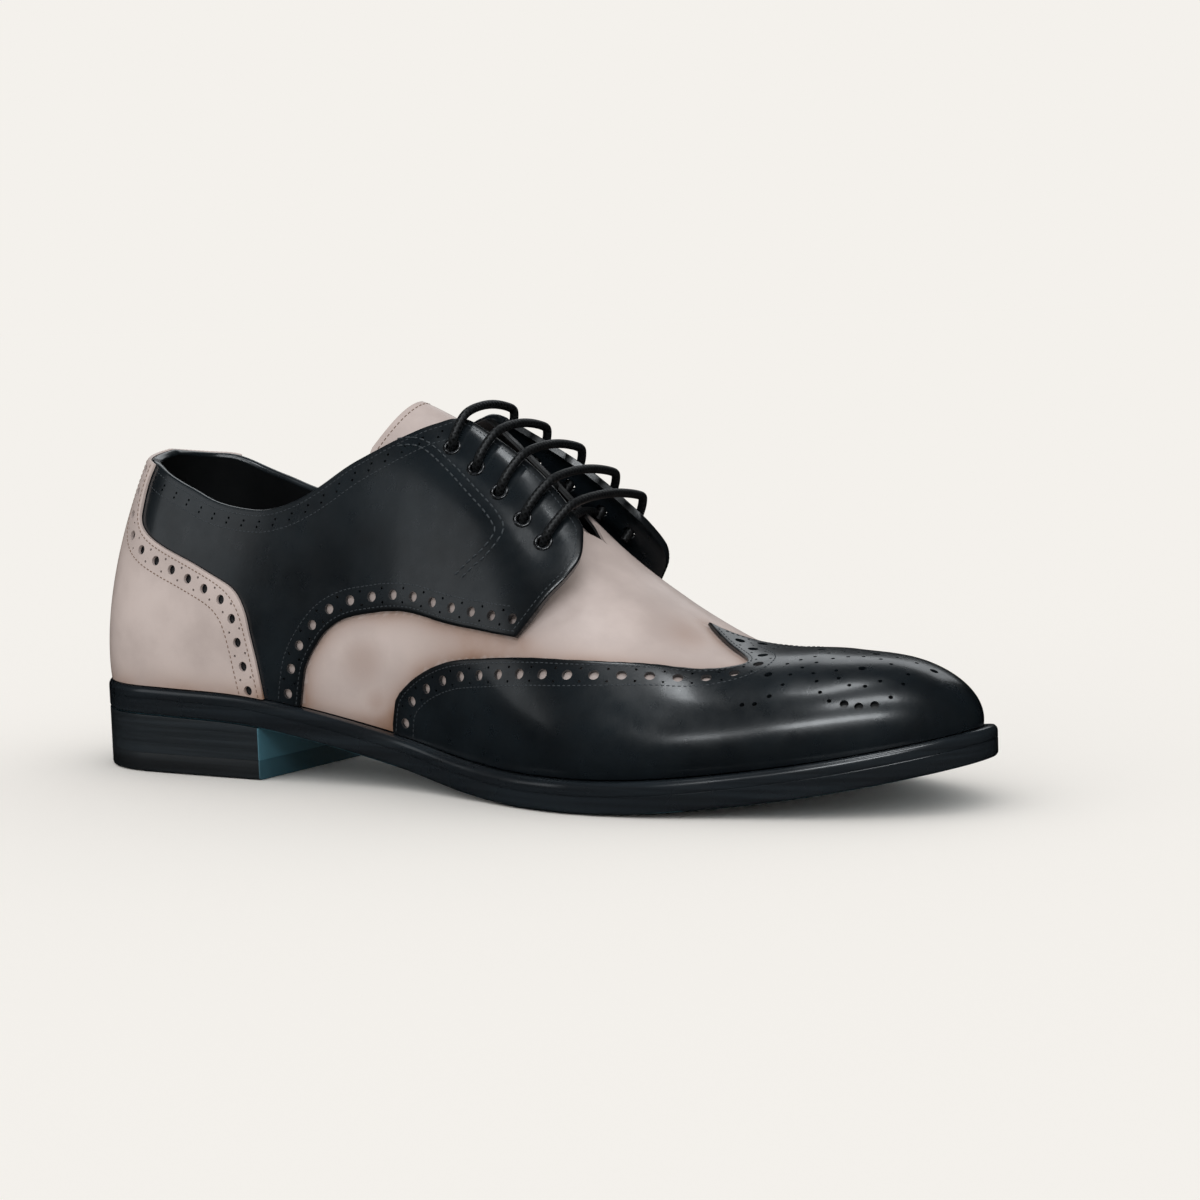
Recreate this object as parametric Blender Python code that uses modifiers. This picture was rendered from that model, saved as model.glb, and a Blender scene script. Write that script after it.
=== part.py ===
"""One right spectator shoe: a brogued derby of black and pale leather, standing empty.

Metres, +Z up, +X to the toe, +Y to the inner side. The origin is the middle of the heel's bottom face.

The upper's form is worked out from ribs. Each rib starts on the feather edge, where upper meets sole,
and ends on the ridge along the top. A place on the upper is a step along the shoe, 0 at the back of the
heel and 1 at the tip of the toe, and a climb up the rib, 0 at the feather edge and 1 at the ridge.
Side -1 is the outer side of the foot and side 1 the inner side.
"""
import bpy
import bmesh
import numpy as np
from mathutils import Matrix, Vector

# Driving sizes
SOLE_LENGTH = 0.308
BALL_WIDTH = 0.099
INSTEP_HEIGHT = 0.096
HEEL_LENGTH = 0.0795
HEEL_RISE = 0.0183
TOE_SPRING = 0.0133
TOP_LIFT_THICK = 0.006
OUTSOLE_THICK = 0.0052
WELT_THICK = 0.0036
INSOLE_THICK = 0.0025
WALL = 0.0016
OVERLAY = 0.0011
TONGUE_THICK = 0.0020
GAP = 0.0003

# Sizes of the last and the sole's edge
HEEL_ROUND = 0.034
HEEL_POWER = 2.13
TOE_FROM = 0.60
TOE_POWER = 2.40
TOE_SHIFT = 0.0047
SPRING_FROM = 0.66
SPRING_POWER = 1.8
LEDGE = 0.0046
BULGE = 0.0040
RIDGE_OFFSET = 0.006
RIDGE_BACK = 0.14
RIDGE_FRONT = 0.80
RIDGE_SOFT = 0.035
EDGE_ROUND = 0.0008
WELT_INSIDE = 0.005
HEEL_INSET = 0.0008
TOE_POLE = 0.0015

# Sizes of the flaps, the lacing and the tongue
FLAP_LIFT = 0.010
LACE_DIAMETER = 0.003
LACE_RISE = 0.0015
EYELET_OUTER = 0.0066
EYELET_HOLE = 0.0040
EYELET_THICK = 0.0008
RING_SEAT = 0.0006
TONGUE_TOP = 0.426
TONGUE_END = 0.600
TONGUE_SIDE = 0.54
TONGUE_SWEEP = -0.004
TONGUE_SIDE_DEPTH = 0.0050
TONGUE_CORE = 0.050

# Counts of the grid
COLUMNS = 36
ROWS = 9
LACE_POINTS = 13
CUTTER_COLUMNS = 12
CUTTER_ROWS = 31
CUTTER_REACH = 0.004
SKIRT = 0.060
SKIRT_CLIMB = -0.08

# share of length: half widths as shares of BALL_WIDTH, rise of HEEL_RISE, ledge of LEDGE
SOLE_COLUMNS = ("share", "outer", "inner", "rise", "ledge")
SOLE = [
    (0.00, 0.355, 0.354, 1.00, 0.57),
    (0.15, 0.364, 0.348, 0.96, 0.45),
    (0.24, 0.362, 0.329, 0.90, 0.39),
    (0.33, 0.353, 0.300, 0.68, 0.44),
    (0.42, 0.343, 0.283, 0.38, 0.57),
    (0.52, 0.407, 0.318, 0.09, 0.80),
    (0.60, 0.475, 0.397, 0.00, 0.92),
    (0.66, 0.507, 0.446, 0.00, 0.98),
    (0.73, 0.505, 0.490, 0.00, 1.00),
    (0.82, 0.460, 0.495, 0.00, 0.95),
    (0.90, 0.439, 0.465, 0.00, 0.90),
    (1.00, 0.384, 0.404, 0.00, 0.83),
]

# share of length: ridge height of INSTEP_HEIGHT, bulge of BULGE, roundness of a rib, ridge's shift of RIDGE_OFFSET
UPPER_COLUMNS = ("share", "ridge", "bulge", "fullness", "shift")
UPPER = [
    (0.00, 1.344, 0.60, 1.55, 0.00),
    (0.15, 1.375, 0.60, 1.63, 0.17),
    (0.25, 1.385, 0.58, 1.70, 0.28),
    (0.36, 1.312, 0.59, 1.83, 0.40),
    (0.45, 1.182, 0.62, 2.20, 0.50),
    (0.52, 1.000, 0.80, 2.20, 0.58),
    (0.60, 0.754, 1.00, 2.16, 0.67),
    (0.65, 0.633, 1.00, 2.15, 0.71),
    (0.75, 0.453, 0.95, 2.20, 0.79),
    (0.85, 0.443, 0.65, 2.42, 0.87),
    (0.93, 0.469, 0.33, 2.35, 0.93),
    (1.00, 0.479, 0.10, 2.10, 1.00),
]

# The rim of the collar and throat
RIM_COLUMNS = ("step", "climb")
RIM = [
    (0.000, 0.542), (0.100, 0.525), (0.171, 0.508), (0.248, 0.452), (0.297, 0.407), (0.334, 0.394),
    (0.353, 0.406), (0.378, 0.449), (0.405, 0.525), (0.428, 0.590), (0.446, 0.657), (0.460, 0.737),
    (0.477, 0.862), (0.500, 0.868), (0.530, 0.865), (0.546, 0.900), (0.562, 1.000), (1.000, 1.000),
]

# Edges of the overlays, from below the feather edge up
LINE_COLUMNS = ("climb", "step")
WING_LINE = [
    (SKIRT_CLIMB, 0.445), (0.001, 0.446), (0.026, 0.448), (0.062, 0.452), (0.101, 0.466), (0.139, 0.482),
    (0.182, 0.501), (0.229, 0.524), (0.338, 0.565), (0.455, 0.608), (0.585, 0.647), (0.655, 0.676),
    (0.734, 0.700), (0.781, 0.705), (0.858, 0.692), (0.926, 0.669), (1.000, 0.642),
]
QUARTER_LINE = [
    (SKIRT_CLIMB, 0.374), (0.052, 0.377), (0.102, 0.381), (0.149, 0.390), (0.187, 0.401), (0.210, 0.415),
    (0.218, 0.437), (0.223, 0.454), (0.239, 0.483), (0.294, 0.522), (0.359, 0.551), (0.435, 0.558),
    (0.520, 0.564), (0.633, 0.570), (0.700, 0.570), (0.768, 0.563), (0.800, 0.557), (0.814, 0.548),
    (0.827, 0.538), (0.843, 0.520), (0.850, 0.500), (0.853, 0.480), (0.875, 0.468), (0.950, 0.462),
]
COUNTER_LINE = [
    (SKIRT_CLIMB, 0.346), (0.000, 0.344), (0.085, 0.340), (0.148, 0.334), (0.204, 0.327), (0.241, 0.315),
    (0.269, 0.292), (0.296, 0.267), (0.332, 0.225), (0.359, 0.197), (0.385, 0.178), (0.425, 0.170),
    (0.478, 0.166), (0.504, 0.170), (0.620, 0.172),
]

# Where the eyelets sit, from the top pair down
EYELET_COLUMNS = ("step", "climb")
EYELETS = [(0.475, 0.699), (0.494, 0.696), (0.513, 0.684), (0.531, 0.668), (0.547, 0.660)]
# Half an eyelet's width along the shoe and up the rib
EYELET_STEP = 0.006
EYELET_CLIMB = 0.03
# The facing's edge beside each eyelet
FACING_CLIMB = [0.845, 0.850, 0.846, 0.834, 0.814]

# step: how far the middle of the tongue's outer face lies below the last
TONGUE_COLUMNS = ("step", "depth")
TONGUE = [(0.40, 0.0092), (0.44, 0.0090), (0.48, 0.0076), (0.52, 0.0066), (0.56, 0.0060), (0.62, 0.0058)]


def clear_scene():
    for thing in list(bpy.data.objects):
        bpy.data.objects.remove(thing, do_unlink=True)


def collection(name):
    group = bpy.data.collections.new(name)
    bpy.context.scene.collection.children.link(group)
    return group


def material(name, colour, roughness, metallic=0.0):
    made = bpy.data.materials.new(name)
    made.use_nodes = True
    shader = made.node_tree.nodes["Principled BSDF"]
    shader.inputs["Base Color"].default_value = (*colour, 1.0)
    shader.inputs["Roughness"].default_value = roughness
    shader.inputs["Metallic"].default_value = metallic
    return made


def read(table, columns, name, at):
    """A named column of a table as a smooth curve through its rows, read at each place in at."""
    rows = np.array(table, float)
    x, y = rows[:, 0], rows[:, columns.index(name)]
    run = np.diff(x)
    slope = np.diff(y) / run
    middle = 0.5 * (slope[:-1] + slope[1:])
    turn = np.zeros_like(y)
    turn[1:-1] = np.where(slope[:-1] * slope[1:] > 0, middle, 0.6 * middle)
    turn[0] = 1.5 * slope[0] - 0.5 * turn[1]
    turn[-1] = 1.5 * slope[-1] - 0.5 * turn[-2]
    at = np.clip(np.asarray(at, float), x[0], x[-1])
    i = np.clip(np.searchsorted(x, at, side="right") - 1, 0, len(run) - 1)
    t = (at - x[i]) / run[i]
    return (y[i] * (1 + 2 * t) * (1 - t) ** 2 + run[i] * turn[i] * t * (1 - t) ** 2
            + y[i + 1] * t * t * (3 - 2 * t) + run[i] * turn[i + 1] * t * t * (t - 1))


def ease(x):
    """0 below 0 and 1 above 1, with a smooth turn between."""
    k = np.clip(x, 0.0, 1.0)
    return k * k * (3 - 2 * k)


def raw_outline(step, side):
    """The outsole's outline in plan, measured from the back of the heel, and the share of length."""
    share = 0.5 - 0.5 * np.cos(np.pi * np.clip(step, 0.0, 1.0))
    half = BALL_WIDTH * read(SOLE, SOLE_COLUMNS, "outer" if side < 0 else "inner", share)
    round_share = HEEL_ROUND / SOLE_LENGTH
    back = np.clip(1 - share / round_share, 0, 1)
    front = np.clip((share - TOE_FROM) / (1 - TOE_FROM), 0, 1)
    half = half * np.maximum(1 - back ** HEEL_POWER, 0) ** (1 / HEEL_POWER)
    half = half * np.maximum(1 - front ** TOE_POWER, 0) ** (1 / TOE_POWER)
    middle = TOE_SHIFT * ease((share - TOE_FROM + 0.05) / (1.05 - TOE_FROM))
    return np.stack([share * SOLE_LENGTH, middle + side * half], -1), share


def outline(step, side, inset):
    """The outline moved inwards by inset, with its inward direction and the share of length."""
    step = np.asarray(step, float)
    small = 1e-4
    point, share = raw_outline(step, side)
    along = raw_outline(step + small, side)[0] - raw_outline(step - small, side)[0]
    inward = np.stack([-along[..., 1], along[..., 0]], -1) * -side
    inward = inward / np.linalg.norm(inward, axis=-1, keepdims=True)
    inward[step <= 1e-6] = (1.0, 0.0)
    inward[step >= 1 - 1e-6] = (-1.0, 0.0)
    return point + inward * np.asarray(inset)[..., None], inward, share


def underside(share):
    """Height of the outsole's underside: the arch, the flat spot under the ball and the toe spring."""
    spring = TOE_SPRING * np.clip((share - SPRING_FROM) / (1 - SPRING_FROM), 0, 1) ** SPRING_POWER
    return HEEL_RISE * np.maximum(read(SOLE, SOLE_COLUMNS, "rise", share), 0) + spring


WELT_TOP = OUTSOLE_THICK + GAP + WELT_THICK


def soft_clamp(x, low, high):
    x = low + RIDGE_SOFT * np.logaddexp(0, (x - low) / RIDGE_SOFT)
    return high - RIDGE_SOFT * np.logaddexp(0, (high - x) / RIDGE_SOFT)


def last_point(step, climb, side):
    """The last: ribs from the feather edge to the ridge, each a rounded quarter arch with a slight bulge."""
    step, climb = np.broadcast_arrays(np.asarray(step, float), np.asarray(climb, float))
    share = raw_outline(step, side)[1]
    ledge = LEDGE * read(SOLE, SOLE_COLUMNS, "ledge", share)
    foot, inward, _ = outline(step, side, ledge)
    at = foot[..., 0] / SOLE_LENGTH
    ridge_at = soft_clamp(at, RIDGE_BACK, RIDGE_FRONT)
    shift = RIDGE_OFFSET * read(UPPER, UPPER_COLUMNS, "shift", ridge_at)
    ridge = np.stack([ridge_at * SOLE_LENGTH, shift], -1)
    turn = np.pi / 2 * np.clip(climb, 0, 1)
    power = 2 / read(UPPER, UPPER_COLUMNS, "fullness", at)
    across = 1 - np.maximum(np.cos(turn), 0) ** power
    up = np.maximum(np.sin(turn), 0) ** power
    bulge = BULGE * read(UPPER, UPPER_COLUMNS, "bulge", at) * 5.13 * up * (1 - up) ** 2.2
    plan = foot + (ridge - foot) * across[..., None] - inward * bulge[..., None]
    low = underside(at) + WELT_TOP + GAP
    high = INSTEP_HEIGHT * read(UPPER, UPPER_COLUMNS, "ridge", plan[..., 0] / SOLE_LENGTH)
    height = low + (high - low) * up + np.minimum(climb, 0) * SKIRT
    return np.concatenate([plan, height[..., None]], -1)


def last_normal(step, climb, side):
    """The outward direction at a place on the last, level at the feather edge and shared at the seams."""
    step, climb = np.broadcast_arrays(np.asarray(step, float), np.asarray(climb, float))
    small = 0.002

    def one_side(which):
        inner = np.minimum(climb, 1 - 4 * small)
        along = (last_point(np.minimum(step + small, 1), inner, which)
                 - last_point(np.maximum(step - small, 0), inner, which))
        upward = last_point(step, inner + small, which) - last_point(step, np.maximum(inner - small, 0), which)
        found = np.cross(along, upward) * -which
        return found / np.linalg.norm(found, axis=-1, keepdims=True)

    here, there = one_side(side), one_side(-side)
    shared = ((step < 1e-6) | (step > 1 - 1e-6) | (climb > 1 - 1e-6))[..., None]
    found = np.where(shared, here + there, here)
    found[..., 2] = np.where(climb < 1e-6, 0.0, found[..., 2])
    return found / np.linalg.norm(found, axis=-1, keepdims=True)


def flap_lift(step, climb):
    """How far the lacing flap stands off the last: nothing at its foot and most at its front corner."""
    return FLAP_LIFT * ease((step - 0.465) / 0.09) * ease((climb - 0.33) / 0.50)


def place(step, climb, side, outward, lifted=False):
    """A place on the upper at a distance outward from the last, in the part's own frame."""
    outward = np.asarray(outward, float)
    if lifted:
        outward = outward + flap_lift(step, climb)
    found = last_point(step, climb, side) + last_normal(step, climb, side) * outward[..., None]
    return found - np.array([HEEL_LENGTH / 2, 0.0, 0.0])


def even_steps(count):
    """Steps that lie evenly along the outline."""
    fine = np.linspace(0, 1, 801)
    edge = raw_outline(fine, -1)[0]
    length = np.concatenate([[0], np.cumsum(np.linalg.norm(np.diff(edge, axis=0), axis=1))])
    return np.interp(np.linspace(0, length[-1], count + 1), length, fine)


def link_mesh(name, verts, faces, group, finish=None, seam=()):
    """A mesh object from arrays, with the points of a seam merged where its two sides meet."""
    mesh = bpy.data.meshes.new(name)
    mesh.from_pydata([tuple(map(float, v)) for v in verts], [], [tuple(map(int, f)) for f in faces])
    if len(seam):
        bm = bmesh.new()
        bm.from_mesh(mesh)
        bm.verts.ensure_lookup_table()
        bmesh.ops.remove_doubles(bm, verts=[bm.verts[int(i)] for i in seam], dist=TOE_POLE)
        bm.to_mesh(mesh)
        bm.free()
    made = bpy.data.objects.new(name, mesh)
    group.objects.link(made)
    if finish:
        mesh.materials.append(finish)
        mesh.shade_smooth()
        mesh.set_sharp_from_angle(angle=0.6)
    return made


def grid_faces(columns, rows, closed):
    """Quads between neighbouring columns, each column holding rows + 1 points."""
    faces = []
    for c in range(columns if closed else columns - 1):
        here, there = c * (rows + 1), ((c + 1) % columns) * (rows + 1)
        faces += [(here + r, there + r, there + r + 1, here + r + 1) for r in range(rows)]
    return faces


def thicken(thing, thickness, offset):
    solid = thing.modifiers.new("wall", "SOLIDIFY")
    solid.thickness = thickness
    solid.offset = offset


def cut(thing, cutter, operation, solver="EXACT"):
    boolean = thing.modifiers.new(operation.lower(), "BOOLEAN")
    boolean.operation = operation
    boolean.solver = solver
    boolean.object = cutter


def cut_panel(thing, cutter):
    """Keeps the part of a wall inside its panel's block. EXACT loses the cap's folded wall, MANIFOLD keeps it."""
    cut(thing, cutter, "INTERSECT", "MANIFOLD")


def rim_climb(rim, step):
    return np.minimum(read(rim, RIM_COLUMNS, "climb", step), 1.0)


def shell(name, chain, closed, rim, outer, thickness, group, finish, lifted=False):
    """A wall of the upper on a chain of (side, step) columns, from the feather edge to the rim."""
    shares = np.linspace(0, 1, ROWS + 1)
    verts = [place(np.full(ROWS + 1, step), rim_climb(rim, step) * shares, side,
                   np.full(ROWS + 1, outer), lifted) for side, step in chain]
    on_ridge = [c * (ROWS + 1) + ROWS for c, (side, step) in enumerate(chain) if rim_climb(rim, step) > 0.999]
    made = link_mesh(name, np.concatenate(verts), grid_faces(len(chain), ROWS, closed), group, finish, on_ridge)
    thicken(made, thickness, -1.0)
    return made


def panel_cutter(name, line, sides, far, group, outer=0.0, lifted=False):
    """A thick block over the panel between its edge line and the far end, heel (0) or toe (1)."""
    along = np.linspace(0, len(line) - 1, CUTTER_ROWS + 1)
    numbered = [(i, climb, step) for i, (climb, step) in enumerate(line)]
    climbs = read(numbered, ("number", "climb", "step"), "climb", along)
    edge = read(numbered, ("number", "climb", "step"), "step", along)
    shares = np.linspace(0, 1, CUTTER_COLUMNS + 1)

    def columns(side):
        reach = np.full(CUTTER_ROWS + 1, outer)
        return [place(edge + (far - edge) * share, climbs, side, reach, lifted) for share in shares]

    if sides == (-1, 1) and far == 1:
        chain = columns(-1) + columns(1)[-2::-1]
    elif sides == (-1, 1):
        chain = columns(1) + columns(-1)[-2::-1]
    else:
        past = place(np.full(CUTTER_ROWS + 1, 0.03), climbs, -sides[0], np.full(CUTTER_ROWS + 1, outer))
        chain = columns(sides[0]) + [past]
        if sides[0] < 0:
            chain = chain[::-1]
    on_ridge = [(c + 1) * (CUTTER_ROWS + 1) - 1 for c in range(len(chain))] if climbs[-1] > 0.999 else []
    made = link_mesh(name, np.concatenate(chain), grid_faces(len(chain), CUTTER_ROWS, False), group,
                     seam=on_ridge)
    thicken(made, 2 * CUTTER_REACH, 0.0)
    made.hide_render = True
    made.display_type = "WIRE"
    return made


def side_chain(steps, side):
    ordered = steps if side < 0 else steps[::-1]
    return [(side, step) for step in ordered]


def ring(steps, inset, height, closed_toe=True):
    """One loop of the sole: outer side heel to toe, then inner side back, at a height above the underside."""
    loops = []
    for side in (-1, 1):
        share = raw_outline(steps, side)[1]
        inward = inset(share) if callable(inset) else np.full(len(steps), inset)
        plan, _, _ = outline(steps, side, inward)
        level = height(plan[:, 0] / SOLE_LENGTH) if callable(height) else np.full(len(steps), height)
        loops.append(np.concatenate([plan - [HEEL_LENGTH / 2, 0], level[:, None]], 1))
    inner = loops[1][::-1][1:-1] if closed_toe else loops[1][::-1][:-1]
    return np.concatenate([loops[0], inner])


def slab(name, steps, rings, group, finish, closed_toe=True):
    """A solid from loops stacked upwards, its two ends closed by strips from side to side."""
    count, size = len(steps), len(rings[0])
    faces = []
    for level in range(len(rings) - 1):
        low, high = level * size, (level + 1) * size
        faces += [(low + i, low + (i + 1) % size, high + (i + 1) % size, high + i) for i in range(size)]
    opposite = [0] + [size - j for j in range(1, count)]
    if closed_toe:
        opposite[-1] = count - 1
    for level, turned in ((0, False), (len(rings) - 1, True)):
        base = level * size
        for j in range(count - 1):
            quad = [base + j, base + opposite[j], base + opposite[j + 1], base + j + 1]
            face = list(dict.fromkeys(quad))
            faces.append(face[::-1] if turned else face)
    return link_mesh(name, np.concatenate(rings), faces, group, finish)


def band(name, rings, group, finish):
    """A closed ring of solid, its loops given round its section."""
    size, count = len(rings[0]), len(rings)
    faces = []
    for level in range(count):
        low, high = level * size, ((level + 1) % count) * size
        faces += [(low + i, low + (i + 1) % size, high + (i + 1) % size, high + i) for i in range(size)]
    return link_mesh(name, np.concatenate(rings), faces, group, finish)


def ledge_at(share):
    return LEDGE * read(SOLE, SOLE_COLUMNS, "ledge", share)


def build_sole(group, finishes):
    steps = even_steps(COLUMNS)

    def above(distance):
        return lambda share: underside(share) + distance

    def inside(distance):
        return lambda share: ledge_at(share) + distance

    rebate = WELT_INSIDE + GAP
    slab("outsole", steps, [
        ring(steps, EDGE_ROUND, above(0)), ring(steps, 0.0, above(EDGE_ROUND)),
        ring(steps, 0.0, above(OUTSOLE_THICK)), ring(steps, inside(rebate), above(OUTSOLE_THICK)),
        ring(steps, inside(rebate), above(WELT_TOP)),
    ], group, finishes["edge"])
    band("welt", [
        ring(steps, 0.0, above(OUTSOLE_THICK + GAP)), ring(steps, 0.0, above(WELT_TOP - EDGE_ROUND)),
        ring(steps, EDGE_ROUND, above(WELT_TOP)), ring(steps, inside(WELT_INSIDE), above(WELT_TOP)),
        ring(steps, inside(WELT_INSIDE), above(OUTSOLE_THICK + GAP)),
    ], group, finishes["edge"])
    clear = OVERLAY + 2 * GAP + WALL + GAP
    slab("insole", steps, [
        ring(steps, inside(clear), above(WELT_TOP + GAP)),
        ring(steps, inside(clear), above(WELT_TOP + GAP + INSOLE_THICK)),
    ], group, finishes["lining"])


def build_heel(group, cutters, finishes):
    """The stack under the sole and its top lift, cut off square at the breast."""
    all_steps = even_steps(COLUMNS)
    behind = raw_outline(all_steps, -1)[0][:, 0] < HEEL_LENGTH + 0.02
    steps = all_steps[behind]
    bpy.ops.mesh.primitive_cube_add(size=1.0)
    breast = bpy.context.object
    breast.name = "heel_breast_cutter"
    depth = HEEL_LENGTH * 2
    for vertex in breast.data.vertices:
        vertex.co = vertex.co * depth + Vector((-depth / 2, 0.0, 0.0))
    breast.location = (HEEL_LENGTH / 2, 0.0, 0.0)
    for owner in list(breast.users_collection):
        owner.objects.unlink(breast)
    cutters.objects.link(breast)
    breast.hide_render = True
    breast.display_type = "WIRE"

    def top(share):
        return underside(share) - GAP

    stack = slab("heel_stack", steps, [
        ring(steps, HEEL_INSET, TOP_LIFT_THICK + GAP, False), ring(steps, HEEL_INSET, top, False),
    ], group, finishes["stack"], False)
    lift = slab("heel_top_lift", steps, [
        ring(steps, HEEL_INSET, 0.0, False), ring(steps, HEEL_INSET, TOP_LIFT_THICK, False),
    ], group, finishes["edge"], False)
    for piece in (stack, lift):
        cut(piece, breast, "INTERSECT")


def build_upper(group, cutters, finishes):
    steps = even_steps(COLUMNS)
    under = -(OVERLAY + GAP)
    round_chain = side_chain(steps, -1) + side_chain(steps[1:-1], 1)
    shell("upper", round_chain, True, RIM, under, WALL, group, finishes["pale"])

    front = steps[steps > 0.41]
    wing_chain = side_chain(front, -1) + side_chain(front[:-1], 1)
    wing = shell("wing_cap", wing_chain, False, RIM, 0.0, OVERLAY, group, finishes["black"])
    cut_panel(wing, panel_cutter("wing_cutter", WING_LINE, (-1, 1), 1, cutters))

    back = steps[steps < 0.60]
    for side, label in ((-1, "outer"), (1, "inner")):
        quarter = shell("quarter_" + label, side_chain(back, side), False, RIM, 0.0, OVERLAY, group,
                        finishes["black"], lifted=True)
        for vertex in quarter.data.vertices:
            if vertex.co.y * side < GAP / 2:
                vertex.co.y = side * GAP / 2
        cutter = panel_cutter("quarter_cutter_" + label, QUARTER_LINE, (side,), 0, cutters, lifted=True)
        cut_panel(quarter, cutter)

    heel = steps[steps < 0.40]
    heel_chain = side_chain(heel, 1) + side_chain(heel[1:], -1)
    counter = shell("heel_counter", heel_chain, False, RIM, OVERLAY + GAP, OVERLAY, group, finishes["pale"])
    cut_panel(counter, panel_cutter("counter_cutter", COUNTER_LINE, (-1, 1), 0, cutters))


def build_tongue(group, finishes):
    """A curved strip under the lacing: the last drawn in towards a line inside it, so that it can't fold."""
    count, rows = 12, 7
    side_shares = np.abs(np.linspace(-1, 1, count + 1))
    chain = []
    for i, share in enumerate(side_shares):
        side = -1 if i <= count // 2 else 1
        climb = np.full(rows + 1, 1 - (1 - TONGUE_SIDE) * share)
        top = TONGUE_TOP - TONGUE_SWEEP * share ** 2
        steps = np.linspace(TONGUE_END, top, rows + 1)
        middle = read(TONGUE, TONGUE_COLUMNS, "depth", steps)
        depth = TONGUE_SIDE_DEPTH + (middle - TONGUE_SIDE_DEPTH) * (1 - share ** 2)
        surface = place(steps, climb, side, np.zeros(rows + 1))
        core = place(steps, np.ones(rows + 1), side, np.zeros(rows + 1)) - [0, 0, TONGUE_CORE]
        inward = core - surface
        inward = inward / np.linalg.norm(inward, axis=-1, keepdims=True)
        chain.append(surface + inward * depth[:, None])
    verts = np.concatenate(chain)
    made = link_mesh("tongue", verts, grid_faces(count + 1, rows, False), group, finishes["pale"])
    thicken(made, TONGUE_THICK, -1.0)


def flap_place(step, climb, side, outward):
    """A place over the flap's facets, straight between the rows of a column and between two columns."""
    steps = even_steps(COLUMNS)
    column = int(np.searchsorted(steps, step)) - 1
    found = []
    for at in steps[column:column + 2]:
        rows = rim_climb(RIM, at) * np.linspace(0, 1, ROWS + 1)
        line = place(np.full(ROWS + 1, at), rows, side, np.full(ROWS + 1, outward), True)
        found.append([np.interp(climb, rows, line[:, axis]) for axis in range(3)])
    share = (step - steps[column]) / (steps[column + 1] - steps[column])
    return np.array(found[0]) + (np.array(found[1]) - np.array(found[0])) * share


def flap_out(step, climb, side):
    """The direction square to the flap over the width of an eyelet."""
    along = flap_place(step + EYELET_STEP, climb, side, 0.0) - flap_place(step - EYELET_STEP, climb, side, 0.0)
    upward = flap_place(step, climb + EYELET_CLIMB, side, 0.0) - flap_place(step, climb - EYELET_CLIMB, side, 0.0)
    out = Vector(np.cross(along, upward) * -side)
    return out.normalized()


def build_eyelets(group, finishes):
    """A flat ring on the flap round each lace hole."""
    for side, label in ((-1, "outer"), (1, "inner")):
        for number, (step, climb) in enumerate(EYELETS, 1):
            seat = flap_place(step, climb, side, RING_SEAT)
            out = flap_out(step, climb, side)
            bm = bmesh.new()
            half = (EYELET_OUTER - EYELET_HOLE) / 2
            middle = (EYELET_OUTER + EYELET_HOLE) / 4
            section = [(middle - half / 2, 0.0), (middle + half / 2, 0.0),
                       (middle + half / 3, EYELET_THICK), (middle - half / 3, EYELET_THICK)]
            points = [bm.verts.new((x, 0.0, z)) for x, z in section]
            edges = [bm.edges.new((points[i], points[(i + 1) % 4])) for i in range(4)]
            bmesh.ops.spin(bm, geom=points + edges, cent=(0, 0, 0), axis=(0, 0, 1), angle=2 * np.pi,
                           steps=10, use_merge=True)
            bmesh.ops.remove_doubles(bm, verts=bm.verts, dist=1e-6)
            bmesh.ops.recalc_face_normals(bm, faces=bm.faces)
            mesh = bpy.data.meshes.new("eyelet")
            bm.to_mesh(mesh)
            bm.free()
            mesh.materials.append(finishes["metal"])
            made = bpy.data.objects.new(f"eyelet_{label}_{number}", mesh)
            made.matrix_world = Matrix.Translation(seat) @ out.to_track_quat("Z", "Y").to_matrix().to_4x4()
            group.objects.link(made)


def lace_route(step, climb, facing):
    """A bar from the outer eyelet up over both facing edges and down to the inner eyelet."""
    over_flap = LACE_DIAMETER / 2 + 3 * GAP
    over_ring = LACE_DIAMETER / 2 + RING_SEAT + EYELET_THICK + 2 * GAP
    heights = ((0.0, over_ring), (0.4, over_ring), (0.75, over_flap + LACE_RISE / 2), (1.0, over_flap + LACE_RISE))
    half = []
    for side in (-1, 1):
        half.append([flap_place(step, climb + (facing - climb) * share, side, height)
                     for share, height in heights])
    crown = (half[0][-1] + half[1][-1]) / 2 + np.array([0.0, 0.0, LACE_RISE])
    return half[0] + [crown] + half[1][::-1]


def build_laces(group, finishes):
    for number, ((step, climb), facing) in enumerate(zip(EYELETS, FACING_CLIMB), 1):
        route = np.array(lace_route(step, climb, facing))
        numbered = [(i, *point) for i, point in enumerate(route)]
        at = np.linspace(0, len(route) - 1, LACE_POINTS)
        smooth = [read(numbered, ("number", "x", "y", "z"), axis, at) for axis in "xyz"]
        curve = bpy.data.curves.new("lace", "CURVE")
        curve.dimensions = "3D"
        curve.bevel_depth = LACE_DIAMETER / 2
        curve.bevel_resolution = 2
        curve.use_fill_caps = True
        line = curve.splines.new("POLY")
        line.points.add(len(at) - 1)
        for point, co in zip(line.points, np.stack(smooth, -1)):
            point.co = (*co, 1.0)
        curve.materials.append(finishes["cord"])
        group.objects.link(bpy.data.objects.new(f"lace_bar_{number}", curve))


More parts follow.
